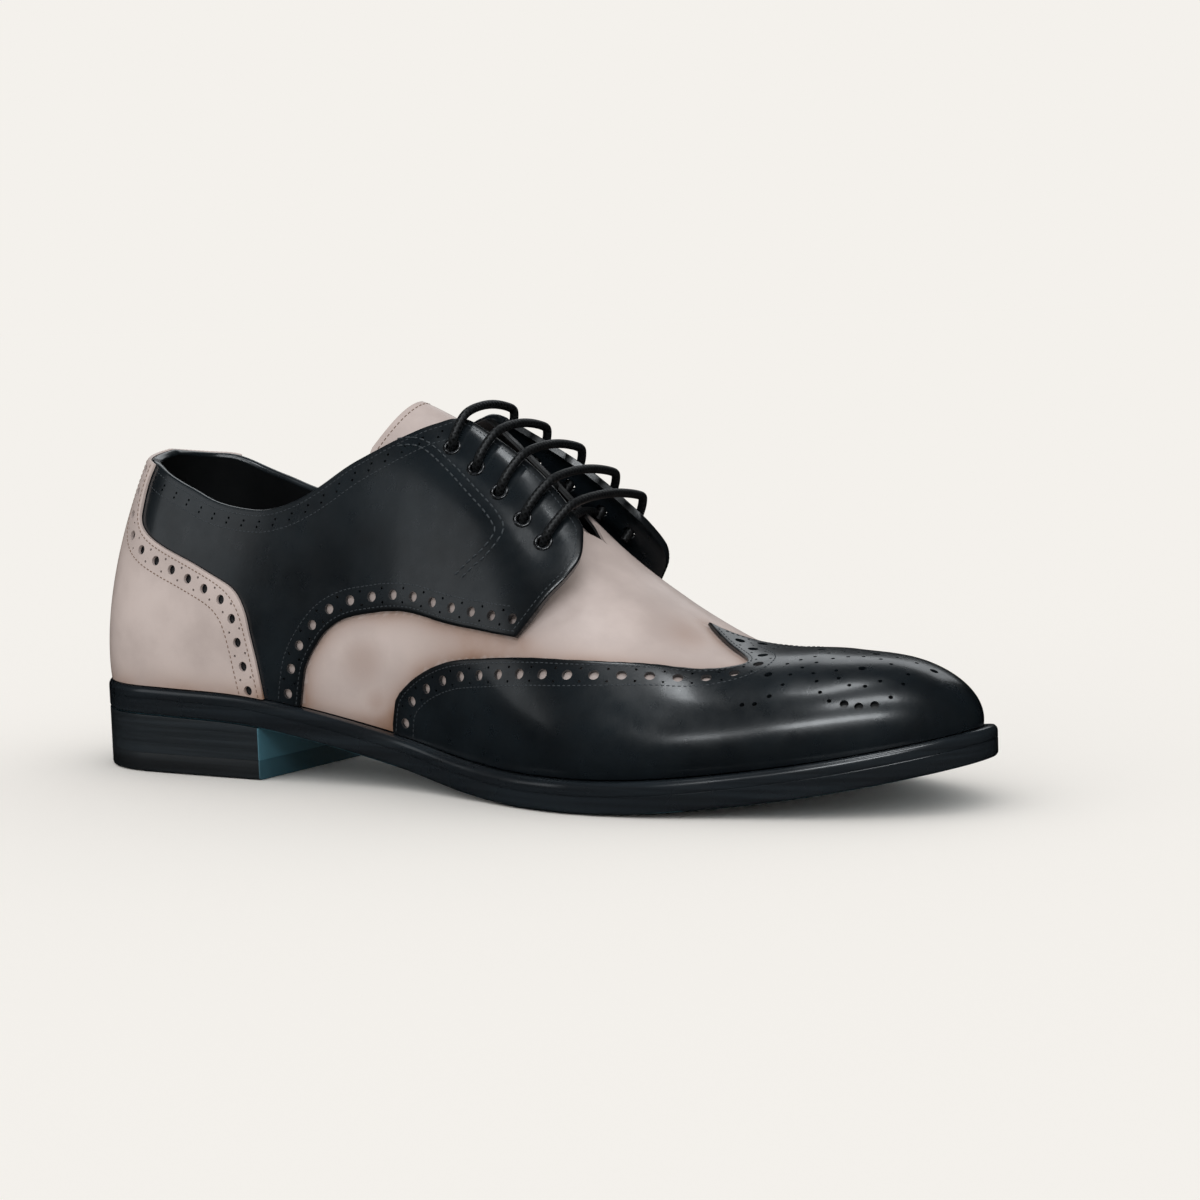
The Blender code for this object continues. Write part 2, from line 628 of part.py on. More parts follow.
def main():
    clear_scene()
    group = collection("spectator_shoe")
    cutters = collection("cutters")
    finishes = {
        "black": material("black_calf", (0.012, 0.015, 0.018), 0.35),
        "pale": material("pale_calf", (0.42, 0.36, 0.33), 0.45),
        "edge": material("sole_edge", (0.010, 0.012, 0.014), 0.30),
        "stack": material("stacked_heel", (0.014, 0.016, 0.018), 0.45),
        "lining": material("lining", (0.02, 0.02, 0.022), 0.65),
        "cord": material("waxed_cord", (0.008, 0.009, 0.010), 0.55),
        "metal": material("blackened_brass", (0.02, 0.02, 0.02), 0.35, 1.0),
    }
    build_sole(group, finishes)
    build_heel(group, cutters, finishes)
    build_upper(group, cutters, finishes)
    build_tongue(group, finishes)
    build_eyelets(group, finishes)
    build_laces(group, finishes)


main()
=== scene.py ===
"""A right spectator shoe in black and pale calf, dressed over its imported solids.

Metres, +Z up, +X to the toe, +Y to the inner side. A place on the upper is a step along the shoe, 0 at
the back of the heel and 1 at the tip of the toe, and a climb up a rib of the last, 0 at the feather edge,
where upper meets sole, and 1 at the ridge. Side -1 is the outer side of the foot and side 1 the inner side.
"""
import bmesh
import bpy
import numpy as np
from mathutils import Matrix, Vector


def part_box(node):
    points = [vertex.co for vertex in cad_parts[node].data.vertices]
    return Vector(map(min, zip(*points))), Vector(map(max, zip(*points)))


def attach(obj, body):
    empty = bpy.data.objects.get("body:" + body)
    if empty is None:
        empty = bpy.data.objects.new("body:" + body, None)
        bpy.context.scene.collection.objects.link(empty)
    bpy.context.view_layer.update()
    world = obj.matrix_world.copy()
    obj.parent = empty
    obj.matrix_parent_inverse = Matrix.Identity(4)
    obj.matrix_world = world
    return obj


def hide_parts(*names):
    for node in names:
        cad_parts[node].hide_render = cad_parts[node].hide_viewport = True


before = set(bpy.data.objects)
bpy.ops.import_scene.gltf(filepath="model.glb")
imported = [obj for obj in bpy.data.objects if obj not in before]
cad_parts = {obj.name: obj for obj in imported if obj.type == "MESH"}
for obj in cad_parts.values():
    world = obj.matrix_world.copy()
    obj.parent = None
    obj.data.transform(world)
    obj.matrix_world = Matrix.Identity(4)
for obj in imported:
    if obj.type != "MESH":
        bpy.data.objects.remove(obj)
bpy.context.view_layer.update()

MM = 0.001
BOTH = (-1.0, 1.0)
sole_low, sole_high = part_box("outsole")
SOLE_LENGTH = sole_high.x - sole_low.x
HEEL_BACK = sole_low.x
_, heel_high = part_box("heel_top_lift")
HEEL_LENGTH = heel_high.x - HEEL_BACK
BREAST = heel_high.x

# Sizes of the last and the sole's edge
BALL_WIDTH = 99.0 * MM
INSTEP_HEIGHT = 96.0 * MM
HEEL_RISE = 18.3 * MM
TOE_SPRING = 13.3 * MM
TOP_LIFT_THICK = 6.0 * MM
OUTSOLE_THICK = 5.2 * MM
WELT_THICK = 3.6 * MM
INSOLE_THICK = 2.5 * MM
GAP = 0.3 * MM
HEEL_ROUND = 34.0 * MM
HEEL_POWER = 2.13
TOE_FROM = 0.60
TOE_POWER = 2.40
TOE_SHIFT = 4.7 * MM
SPRING_FROM = 0.66
SPRING_POWER = 1.8
LEDGE = 4.6 * MM
BULGE = 4.0 * MM
RIDGE_OFFSET = 6.0 * MM
RIDGE_BACK = 0.14
RIDGE_FRONT = 0.80
RIDGE_SOFT = 0.035
BULGE_SCALE = 5.13
BULGE_FALL = 2.2
SKIRT = 60.0 * MM
WELT_TOP = OUTSOLE_THICK + GAP + WELT_THICK
EDGE_LOW_ROUND = 1.3 * MM
EDGE_TOP_ROUND = 2.2 * MM

# The lacing flap's rise off the last: its height, the step and climb it starts from, and its run over each
FLAP_LIFT = 10.0 * MM
FLAP_FROM_STEP = 0.438
FLAP_STEP_RUN = 0.128
FLAP_FROM_CLIMB = 0.19
FLAP_CLIMB_RUN = 0.70

# The dent round an eyelet: its depth, and its half widths in step and climb
PUCKER_DEPTH = 1.3 * MM
PUCKER_STEP = 0.013
PUCKER_CLIMB = 0.065

# Leather thicknesses, and where each layer's outer face lies from the last
OVERLAY = 1.1 * MM
VAMP_FACE = -(OVERLAY + GAP)
VAMP_THICK = 0.8 * MM
LINING_FACE = -2.3 * MM
LINING_THICK = 0.7 * MM
COUNTER_FACE = OVERLAY + GAP
FLAP_THICK = 2.1 * MM

# Cut edges, stitching and punching
LIP = 0.9 * MM
LIP_DROP = 0.45 * MM
STITCH = 1.6 * MM
THREAD = 0.38 * MM
# A stitch's four rings: place from end to end, width as a share of the thread, and depth in its holes
STITCH_RINGS = [(-1, 0.35, 0.25 * MM), (-0.55, 0.95, 0.0), (0.55, 0.95, 0.0), (1, 0.35, 0.25 * MM)]
STITCH_REACH = 0.43
STITCH_SUNK = 0.03 * MM
OUTER_ROW = 1.5 * MM
INNER_ROW = 8.3 * MM
FLAP_ROW = 2.0 * MM
RIM_INNER_ROW = 6.6 * MM
STAY_SPREAD = 1.2 * MM
STAY_STITCH = 2.6 * MM
HOLE_ROW = 4.9 * MM
HOLE_PITCH = 8.0 * MM
COUNTER_PITCH = 0.94 * HOLE_PITCH
HOLE_RADIUS = 1.55 * MM
HOLE_DEPTH = 4.0 * MM
PINHOLE_RADIUS = 0.42 * MM
PINHOLE_SPREAD = 2.1 * MM
EYELET_RADIUS = 2.0 * MM
LACE_DIAMETER = 2.7 * MM
RIM_ROWS = (3.3 * MM, 4.9 * MM)
RIM_PITCH = 6.2 * MM

# share of length: half widths as shares of BALL_WIDTH, rise of HEEL_RISE, ledge of LEDGE
SOLE_COLUMNS = ("share", "outer", "inner", "rise", "ledge")
SOLE = [
    (0.00, 0.355, 0.354, 1.00, 0.57),
    (0.15, 0.364, 0.348, 0.96, 0.45),
    (0.24, 0.362, 0.329, 0.90, 0.39),
    (0.33, 0.353, 0.300, 0.68, 0.44),
    (0.42, 0.343, 0.283, 0.38, 0.57),
    (0.52, 0.407, 0.318, 0.09, 0.80),
    (0.60, 0.475, 0.397, 0.00, 0.92),
    (0.66, 0.507, 0.446, 0.00, 0.98),
    (0.73, 0.505, 0.490, 0.00, 1.00),
    (0.82, 0.460, 0.495, 0.00, 0.95),
    (0.90, 0.439, 0.465, 0.00, 0.90),
    (1.00, 0.384, 0.404, 0.00, 0.83),
]

# share of length: ridge height of INSTEP_HEIGHT, bulge of BULGE, roundness of a rib, shift of RIDGE_OFFSET
UPPER_COLUMNS = ("share", "ridge", "bulge", "fullness", "shift")
UPPER = [
    (0.00, 1.344, 0.60, 1.55, 0.00),
    (0.15, 1.375, 0.60, 1.63, 0.17),
    (0.25, 1.385, 0.58, 1.70, 0.28),
    (0.36, 1.312, 0.59, 1.83, 0.40),
    (0.45, 1.182, 0.62, 2.20, 0.50),
    (0.52, 1.000, 0.80, 2.20, 0.58),
    (0.60, 0.754, 1.00, 2.16, 0.67),
    (0.65, 0.633, 1.00, 2.15, 0.71),
    (0.75, 0.453, 0.95, 2.20, 0.79),
    (0.85, 0.443, 0.65, 2.42, 0.87),
    (0.93, 0.469, 0.33, 2.35, 0.93),
    (1.00, 0.479, 0.10, 2.10, 1.00),
]

# The rim of the collar and throat
RIM = [
    (0.000, 0.542), (0.100, 0.525), (0.171, 0.508), (0.248, 0.452), (0.297, 0.407), (0.334, 0.394),
    (0.353, 0.406), (0.378, 0.449), (0.405, 0.525), (0.428, 0.590), (0.446, 0.657), (0.460, 0.737),
    (0.477, 0.862), (0.500, 0.868), (0.530, 0.865), (0.546, 0.900), (0.562, 1.000), (1.000, 1.000),
]

# Edges of the toe cap and the counter, from the feather edge up: climb, step
WING_LINE = [
    (0.000, 0.446), (0.026, 0.448), (0.062, 0.452), (0.101, 0.466), (0.139, 0.482),
    (0.182, 0.501), (0.229, 0.524), (0.338, 0.565), (0.455, 0.608), (0.585, 0.647), (0.655, 0.676),
    (0.734, 0.700), (0.781, 0.705), (0.858, 0.692), (0.926, 0.669), (1.000, 0.642),
]
COUNTER_LINE = [
    (0.000, 0.344), (0.085, 0.340), (0.148, 0.334), (0.204, 0.327), (0.241, 0.315),
    (0.269, 0.292), (0.296, 0.267), (0.332, 0.225), (0.359, 0.197), (0.385, 0.178), (0.425, 0.170),
    (0.478, 0.166), (0.504, 0.170), (0.560, 0.172),
]
COUNTER_TOP = 0.5085
COUNTER_END = 0.17
HEEL_CORNER = 20.0 * MM

# The quarter's lower and upper edges: share from heel to flap, step, climb. The lower edge leaves the feather
# edge at one share, and along the upper the counter ends at the next, and the facing starts at the last.
QUARTER_FOOT = 0.45
RIM_FROM = 0.205
FACING_FROM = 0.84
LOWER_EDGE = [
    (0.45, 0.374, 0.000), (0.49, 0.377, 0.052), (0.53, 0.381, 0.102), (0.57, 0.390, 0.149),
    (0.61, 0.401, 0.187), (0.65, 0.415, 0.210), (0.70, 0.437, 0.219), (0.76, 0.462, 0.226),
    (0.84, 0.490, 0.246), (0.92, 0.522, 0.294), (1.00, 0.551, 0.359),
]
UPPER_EDGE = [
    (0.00, 0.000, 0.542), (0.12, 0.100, 0.525), (0.21, 0.171, 0.508), (0.31, 0.248, 0.452),
    (0.39, 0.297, 0.407), (0.44, 0.334, 0.394), (0.47, 0.353, 0.406), (0.52, 0.378, 0.449),
    (0.58, 0.405, 0.525), (0.64, 0.428, 0.590), (0.70, 0.446, 0.657), (0.76, 0.460, 0.737),
    (0.82, 0.471, 0.815), (0.86, 0.480, 0.848), (0.90, 0.500, 0.851), (0.94, 0.520, 0.843),
    (0.98, 0.538, 0.827), (1.00, 0.548, 0.814),
]
# The flap's front edge from its lower corner up: share, step, climb
FRONT_EDGE = [
    (0.00, 0.551, 0.359), (0.16, 0.558, 0.435), (0.33, 0.564, 0.520), (0.55, 0.570, 0.633),
    (0.72, 0.570, 0.700), (0.86, 0.563, 0.768), (0.94, 0.557, 0.800), (1.00, 0.548, 0.814),
]
# The double row that holds the eyelet facing's lining: share, step, climb
EYESTAY_ROW = [
    (0.00, 0.437, 0.610), (0.20, 0.457, 0.641), (0.36, 0.477, 0.630), (0.52, 0.497, 0.617),
    (0.66, 0.515, 0.604), (0.72, 0.522, 0.585), (0.79, 0.522, 0.554), (0.86, 0.517, 0.489),
    (0.94, 0.509, 0.431), (1.00, 0.500, 0.370),
]
EYELETS = [(0.475, 0.699), (0.494, 0.696), (0.513, 0.684), (0.531, 0.668), (0.547, 0.660)]
FACING_CLIMB = [0.845, 0.850, 0.846, 0.834, 0.814]

# Brown rubbed marks on the pale calf: side, step, climb, radius
SMUDGES = [(-1.0, 0.425, 0.120, 9 * MM), (-1.0, 0.436, 0.045, 7 * MM), (1.0, 0.430, 0.130, 9 * MM),
           (-1.0, 0.640, 0.860, 12 * MM)]

# Soft creases of the flexing forefoot: across -1 outer to 1 inner, step, lean, depth and half widths
CREASES = [
    (-0.76, 0.585, 0.10, 0.07 * MM, 0.014, 0.18),
    (-0.80, 0.655, 0.12, 0.08 * MM, 0.012, 0.10),
    (0.74, 0.600, 0.08, 0.22 * MM, 0.014, 0.18),
    (0.10, 0.600, 0.06, 0.16 * MM, 0.013, 0.50),
]
# The low ridge beside each crease: its height as a share of the depth, and its place and half width in
# the crease's own half widths
CREASE_RIDGE = 0.45
CREASE_RIDGE_AT = 2.2
CREASE_RIDGE_WIDE = 1.3


def read(rows, column, at):
    """A column of a table as a smooth curve through its rows, read at each place in at: cubic pieces whose
    slope at a row is the mean of the slopes beside it, and six tenths of that where the curve turns back."""
    rows = np.array(rows, float)
    x, y = rows[:, 0], rows[:, column]
    run = np.diff(x)
    slope = np.diff(y) / run
    middle = 0.5 * (slope[:-1] + slope[1:])
    turn = np.zeros_like(y)
    turn[1:-1] = np.where(slope[:-1] * slope[1:] > 0, middle, 0.6 * middle)
    turn[0] = 1.5 * slope[0] - 0.5 * turn[1]
    turn[-1] = 1.5 * slope[-1] - 0.5 * turn[-2]
    at = np.clip(np.asarray(at, float), x[0], x[-1])
    i = np.clip(np.searchsorted(x, at, side="right") - 1, 0, len(run) - 1)
    t = (at - x[i]) / run[i]
    return (y[i] * (1 + 2 * t) * (1 - t) ** 2 + run[i] * turn[i] * t * (1 - t) ** 2
            + y[i + 1] * t * t * (3 - 2 * t) + run[i] * turn[i + 1] * t * t * (t - 1))


def sole_at(share, name):
    """A named column of the sole's table at a share of its length."""
    return read(SOLE, SOLE_COLUMNS.index(name), share)


def upper_at(share, name):
    """A named column of the upper's table at a share of its length."""
    return read(UPPER, UPPER_COLUMNS.index(name), share)


def ease(x):
    """0 below 0 and 1 above 1, with a smooth turn between."""
    k = np.clip(x, 0.0, 1.0)
    return k * k * (3 - 2 * k)


def swell(x):
    """0 below 0 and 1 above 1, with a turn whose curvature is smooth too."""
    k = np.clip(x, 0.0, 1.0)
    return k ** 3 * (10 - 15 * k + 6 * k * k)


def unit(vectors):
    """Each vector divided by its own length."""
    return vectors / np.maximum(np.linalg.norm(vectors, axis=-1, keepdims=True), 1e-12)


def walked(path):
    """The distance walked along a row of points, at each of them."""
    return np.concatenate([[0], np.cumsum(np.linalg.norm(np.diff(path, axis=0), axis=1))])


def softened(values, reach):
    """A row of numbers, each made the bell-weighted mean of its neighbours within reach; its ends stay."""
    head = 2 * values[0] - values[reach:0:-1]
    tail = 2 * values[-1] - values[-2:-reach - 2:-1]
    weight = np.hanning(2 * reach + 3)[1:-1]
    return np.convolve(np.concatenate([head, values, tail]), weight / weight.sum(), "valid")


def around(count):
    """Angles evenly spaced round a circle."""
    return np.linspace(0, 2 * np.pi, count, endpoint=False)


def spokes(angle, across, upward):
    """Spokes round each place: across times the angle's cosine and upward times its sine."""
    return np.cos(angle)[None, :, None] * across[:, None] + np.sin(angle)[None, :, None] * upward[:, None]


def raw_outline(step, side):
    """The sole's outline in plan from the heel's back: tabled half widths times a rounded end at each end."""
    share = 0.5 - 0.5 * np.cos(np.pi * np.clip(step, 0.0, 1.0))
    half = BALL_WIDTH * np.where(np.asarray(side) < 0, sole_at(share, "outer"), sole_at(share, "inner"))
    back = np.clip(1 - share * SOLE_LENGTH / HEEL_ROUND, 0, 1)
    front = np.clip((share - TOE_FROM) / (1 - TOE_FROM), 0, 1)
    half = half * np.maximum(1 - back ** HEEL_POWER, 0) ** (1 / HEEL_POWER)
    half = half * np.maximum(1 - front ** TOE_POWER, 0) ** (1 / TOE_POWER)
    middle = TOE_SHIFT * ease((share - TOE_FROM + 0.05) / (1.05 - TOE_FROM))
    return np.stack([share * SOLE_LENGTH, middle + side * half], -1), share


def outline(step, side, inset):
    """The outline moved inwards by inset, with its inward direction and the share of length."""
    small = 1e-4
    point, share = raw_outline(step, side)
    along = raw_outline(step + small, side)[0] - raw_outline(step - small, side)[0]
    turned = np.asarray(side)[..., None] if np.ndim(side) else side
    inward = unit(np.stack([-along[..., 1], along[..., 0]], -1) * -turned)
    inward = np.where((step <= 1e-6)[..., None], [1.0, 0.0], inward)
    inward = np.where((step >= 1 - 1e-6)[..., None], [-1.0, 0.0], inward)
    return point + inward * np.asarray(inset)[..., None], inward, share


def underside(share):
    """Height of the sole's underside: the arch, the flat spot under the ball and the toe spring."""
    spring = TOE_SPRING * np.clip((share - SPRING_FROM) / (1 - SPRING_FROM), 0, 1) ** SPRING_POWER
    return HEEL_RISE * np.maximum(sole_at(share, "rise"), 0) + spring


def soft_clamp(x, low, high):
    """x held between low and high, each limit a soft bend: the logarithm of one plus an exponential."""
    x = low + RIDGE_SOFT * np.logaddexp(0, (x - low) / RIDGE_SOFT)
    return high - RIDGE_SOFT * np.logaddexp(0, (high - x) / RIDGE_SOFT)


def last_point(step, climb, side):
    """The last: a rib from feather edge to ridge. Its run is 1 less a quarter turn's cosine to a power, its
    height the turn's sine to that power, and it bulges by the height times a power of what is left above."""
    share = raw_outline(step, side)[1]
    foot, inward, _ = outline(step, side, LEDGE * sole_at(share, "ledge"))
    at = foot[..., 0] / SOLE_LENGTH
    ridge_at = soft_clamp(at, RIDGE_BACK, RIDGE_FRONT)
    ridge = np.stack([ridge_at * SOLE_LENGTH, RIDGE_OFFSET * upper_at(ridge_at, "shift")], -1)
    turn = np.pi / 2 * np.clip(climb, 0, 1)
    power = 2 / upper_at(at, "fullness")
    across = 1 - np.maximum(np.cos(turn), 0) ** power
    up = np.maximum(np.sin(turn), 0) ** power
    bulge = BULGE * upper_at(at, "bulge") * BULGE_SCALE * up * (1 - up) ** BULGE_FALL
    plan = foot + (ridge - foot) * across[..., None] - inward * bulge[..., None]
    low = underside(at) + WELT_TOP + GAP
    high = INSTEP_HEIGHT * upper_at(plan[..., 0] / SOLE_LENGTH, "ridge")
    height = low + (high - low) * up + np.minimum(climb, 0) * SKIRT
    return np.concatenate([plan, height[..., None]], -1)


def last_normal(step, climb, side):
    """The outward direction on the last, level at the feather edge and shared where the two sides meet."""
    small = 0.002

    def one_side(which):
        inner = np.minimum(climb, 1 - 4 * small)
        along = (last_point(np.minimum(step + small, 1), inner, which)
                 - last_point(np.maximum(step - small, 0), inner, which))
        upward = (last_point(step, inner + small, which)
                  - last_point(step, np.maximum(inner - small, 0), which))
        return unit(np.cross(along, upward) * -np.asarray(which)[..., None])

    here, there = one_side(side), one_side(-side)
    shared = ((step < 1e-6) | (step > 1 - 1e-6) | (climb > 1 - 1e-6))[..., None]
    found = np.where(shared, here + there, here)
    found[..., 2] = np.where(climb < 1e-6, 0.0, found[..., 2])
    return unit(found)


def flap_lift(step, climb):
    """How far the lacing flap stands off the last: nothing at its foot and most at its front corner."""
    return (FLAP_LIFT * swell((step - FLAP_FROM_STEP) / FLAP_STEP_RUN)
            * swell((climb - FLAP_FROM_CLIMB) / FLAP_CLIMB_RUN))


def crease_depth(step, climb, side):
    """Soft troughs, each a bell across a leaning line and a bell along it, with a low ridge beside it."""
    total = np.zeros_like(step)
    for at, middle, lean, depth, wide, reach in CREASES:
        across = side * (1 - climb)
        away = (step - middle - lean * (across - at)) / wide
        window = np.exp(-((across - at) / reach) ** 2)
        ridge = CREASE_RIDGE * np.exp(-((away - CREASE_RIDGE_AT) / CREASE_RIDGE_WIDE) ** 2)
        total += depth * window * (np.exp(-away ** 2) - ridge)
    return total


def pucker(step, climb):
    """The dent round each eyelet, where the lace pulls the flap down: a bell in step and in climb."""
    total = np.zeros_like(step)
    for at_step, at_climb in EYELETS:
        away = np.hypot((step - at_step) / PUCKER_STEP, (climb - at_climb) / PUCKER_CLIMB)
        total += PUCKER_DEPTH * np.exp(-away ** 2)
    return total


def place(step, climb, side, outward, lifted=False):
    """A place on the upper: the last's point moved outward along its normal, less the creases."""
    given = (np.asarray(part, float) for part in (step, climb, side, outward))
    step, climb, side, outward = np.broadcast_arrays(*given)
    reach = outward - crease_depth(step, climb, side)
    if lifted:
        reach = reach + flap_lift(step, climb) - pucker(step, climb)
    found = last_point(step, climb, side) + last_normal(step, climb, side) * reach[..., None]
    return found + np.array([HEEL_BACK, 0.0, 0.0])


def facing_out(step, climb, side, lifted=False):
    """The outward direction of the creased and lifted skin, from its own slopes."""
    small = 0.003
    top = np.minimum(np.asarray(climb, float), 1 - 2 * small)
    along = place(step + small, top, side, 0.0, lifted) - place(step - small, top, side, 0.0, lifted)
    upward = place(step, top + small, side, 0.0, lifted) - place(step, top - small, side, 0.0, lifted)
    turned = np.asarray(side, float)
    return unit(np.cross(along, upward) * -(turned[..., None] if turned.ndim else turned))


def even_steps(count, start=0.0, end=1.0):
    """Steps that lie evenly along the outline."""
    fine = np.linspace(start, end, 801)
    edge = raw_outline(fine, -1)[0]
    length = walked(edge)
    return np.interp(np.linspace(0, length[-1], count + 1), length, fine)


def crowded(count, length, both=True):
    """Shares from 0 to 1, evenly spaced but for short strides beside an edge, for a piece of that length."""
    near = np.array([0.0, 0.15, 0.4, 0.75, 1.2]) * MM / length
    even = np.linspace(0, 1, count + 1)
    keep = even[(even > 2.2 * MM / length) & (even < 1 - (2.2 * MM / length if both else 0))]
    ends = 1 - near[::-1] if both else np.array([1.0])
    return np.unique(np.concatenate([near, keep, ends]).round(9))


def new_mesh(name, verts, faces):
    """A mesh object from an array of points and an array of quads."""
    mesh = bpy.data.meshes.new(name)
    verts = np.asarray(verts, np.float32)
    faces = np.asarray(faces, np.int32)
    mesh.vertices.add(len(verts))
    mesh.vertices.foreach_set("co", verts.ravel())
    mesh.loops.add(faces.size)
    mesh.loops.foreach_set("vertex_index", faces.ravel())
    mesh.polygons.add(len(faces))
    mesh.polygons.foreach_set("loop_start", np.arange(len(faces), dtype=np.int32) * faces.shape[1])
    mesh.update(calc_edges=True)
    mesh.validate()
    made = bpy.data.objects.new(name, mesh)
    bpy.context.scene.collection.objects.link(made)
    return made


def quads(a, b, c, d):
    """Four-cornered faces from four arrays of corners."""
    return np.stack([a, b, c, d], -1).reshape(-1, 4)


def outwards(verts, faces):
    """The faces, turned round where the signed volume of each face's two triangles adds up to less than 0."""
    a, b, c, d = (verts[faces[:, i]] for i in range(4))
    six_volumes = np.einsum("ij,ij->i", a, np.cross(b, c)) + np.einsum("ij,ij->i", a, np.cross(c, d))
    return faces[:, ::-1] if np.sum(six_volumes) < 0 else faces


def wall(name, outer, inner, folded=False):
    """A closed wall between two grids of columns and rows. folded joins the last column's two halves, row by
    row, where both sides of the shoe meet at the toe."""
    columns, rows = outer.shape[:2]
    near = np.arange(columns * rows).reshape(columns, rows)
    if folded:
        half = rows // 2
        near[-1, half + 1:] = near[-1, :rows - half - 1][::-1]
    far = near + columns * rows
    faces = [
        quads(near[:-1, :-1], near[1:, :-1], near[1:, 1:], near[:-1, 1:]),
        quads(far[:-1, :-1], far[:-1, 1:], far[1:, 1:], far[1:, :-1]),
        quads(near[:-1, 0], far[:-1, 0], far[1:, 0], near[1:, 0]),
        quads(near[:-1, -1], near[1:, -1], far[1:, -1], far[:-1, -1]),
        quads(near[0, :-1], near[0, 1:], far[0, 1:], far[0, :-1]),
    ]
    if not folded:
        faces.append(quads(near[-1, :-1], far[-1, :-1], far[-1, 1:], near[-1, 1:]))
    verts = np.concatenate([outer.reshape(-1, 3), inner.reshape(-1, 3)])
    faces = outwards(verts, np.concatenate(faces))
    used, packed = np.unique(faces, return_inverse=True)
    return new_mesh(name, verts[used], packed.reshape(faces.shape))


def hoop(name, grid):
    """A solid from a grid of loops by points of their section, closed both ways."""
    count, size = grid.shape[:2]
    index = np.arange(count * size).reshape(count, size)
    index = np.vstack([index, index[:1]])
    index = np.hstack([index, index[:, :1]])
    faces = quads(index[:-1, :-1], index[1:, :-1], index[1:, 1:], index[:-1, 1:])
    verts = grid.reshape(-1, 3)
    return new_mesh(name, verts, outwards(verts, faces))


def sheet(name, points, **layers):
    """An open surface through a grid of columns and rows, with painted layers, its doubled points merged."""
    columns, rows = points.shape[:2]
    index = np.arange(columns * rows).reshape(columns, rows)
    faces = quads(index[:-1, :-1], index[1:, :-1], index[1:, 1:], index[:-1, 1:])
    made = new_mesh(name, points.reshape(-1, 3), faces)
    for layer, values in layers.items():
        paint(made, layer, values.ravel())
    bm = bmesh.new()
    bm.from_mesh(made.data)
    bmesh.ops.remove_doubles(bm, verts=bm.verts, dist=1e-6)
    bm.to_mesh(made.data)
    bm.free()
    return made


def tube(name, path, radius, hint, sides=12):
    """A round bar along a path: rings across each tangent, the first spoke square to the hint direction. Its
    material reads run, the distance along it, and spin, the cosine and sine of the angle round it."""
    path = np.asarray(path, float)
    radius = np.broadcast_to(radius, len(path))
    along = unit(np.gradient(path, axis=0))
    across = unit(np.cross(along, np.broadcast_to(hint, path.shape)))
    upward = np.cross(across, along)
    angle = around(sides)
    rings = path[:, None] + radius[:, None, None] * spokes(angle, across, upward)
    count = len(path)
    index = np.arange(count * sides).reshape(count, sides)
    wrapped = np.hstack([index, index[:, :1]])
    faces = quads(wrapped[:-1, :-1], wrapped[:-1, 1:], wrapped[1:, 1:], wrapped[1:, :-1])
    tips = np.array([count * sides, count * sides + 1])
    caps = [quads(np.full(sides, tips[0]), wrapped[0, 1:], wrapped[0, :-1], np.full(sides, tips[0])),
            quads(np.full(sides, tips[1]), wrapped[-1, :-1], wrapped[-1, 1:], np.full(sides, tips[1]))]
    verts = np.concatenate([rings.reshape(-1, 3), path[[0, -1]]])
    made = new_mesh(name, verts, faces)
    bm = bmesh.new()
    bm.from_mesh(made.data)
    bm.verts.ensure_lookup_table()
    for cap in caps:
        for a, b, c, _ in cap:
            bm.faces.new((bm.verts[int(a)], bm.verts[int(b)], bm.verts[int(c)]))
    bmesh.ops.recalc_face_normals(bm, faces=bm.faces)
    bm.to_mesh(made.data)
    bm.free()
    length = walked(path)
    run = made.data.attributes.new("run", "FLOAT", "POINT")
    lengths = np.concatenate([np.repeat(length, sides), length[[0, -1]]])
    run.data.foreach_set("value", lengths.astype(np.float32))
    spin = made.data.attributes.new("spin", "FLOAT_VECTOR", "POINT")
    turn = np.stack([np.cos(angle), np.sin(angle), np.zeros(sides)], -1)
    turn = np.concatenate([np.tile(turn, (count, 1)), np.zeros((2, 3))])
    spin.data.foreach_set("vector", turn.astype(np.float32).ravel())
    return made


def smooth_through(points, count, reach=5):
    """A curve through given points, each bend softened by a bell-weighted mean over its neighbours."""
    points = np.asarray(points, float)
    numbered = np.column_stack([np.arange(len(points)), points])
    at = np.linspace(0, len(points) - 1, count)
    path = np.stack([read(numbered, axis, at) for axis in (1, 2, 3)], -1)
    return np.stack([softened(path[:, axis], reach) for axis in range(3)], -1)


def least_gap(points, line):
    """Distance from each point to the nearest point of a line."""
    flat = points.reshape(-1, 3)
    found = [np.sqrt(((part[:, None] - line[None]) ** 2).sum(-1).min(1)) for part in np.array_split(flat, 24)]
    return np.concatenate(found).reshape(points.shape[:-1])


def rub(gap, strength=1.0, fade=3.0 * MM):
    """The rub beside an edge: a strength times an exponential that falls to about a third over the fade."""
    return strength * np.exp(-gap / fade)


def lip(gap):
    """A cut edge's rounding: a quarter ellipse down from the face over the lip's width."""
    inside = np.clip(1 - gap / LIP, 0, 1)
    return -LIP_DROP * (1 - np.sqrt(1 - inside ** 2))


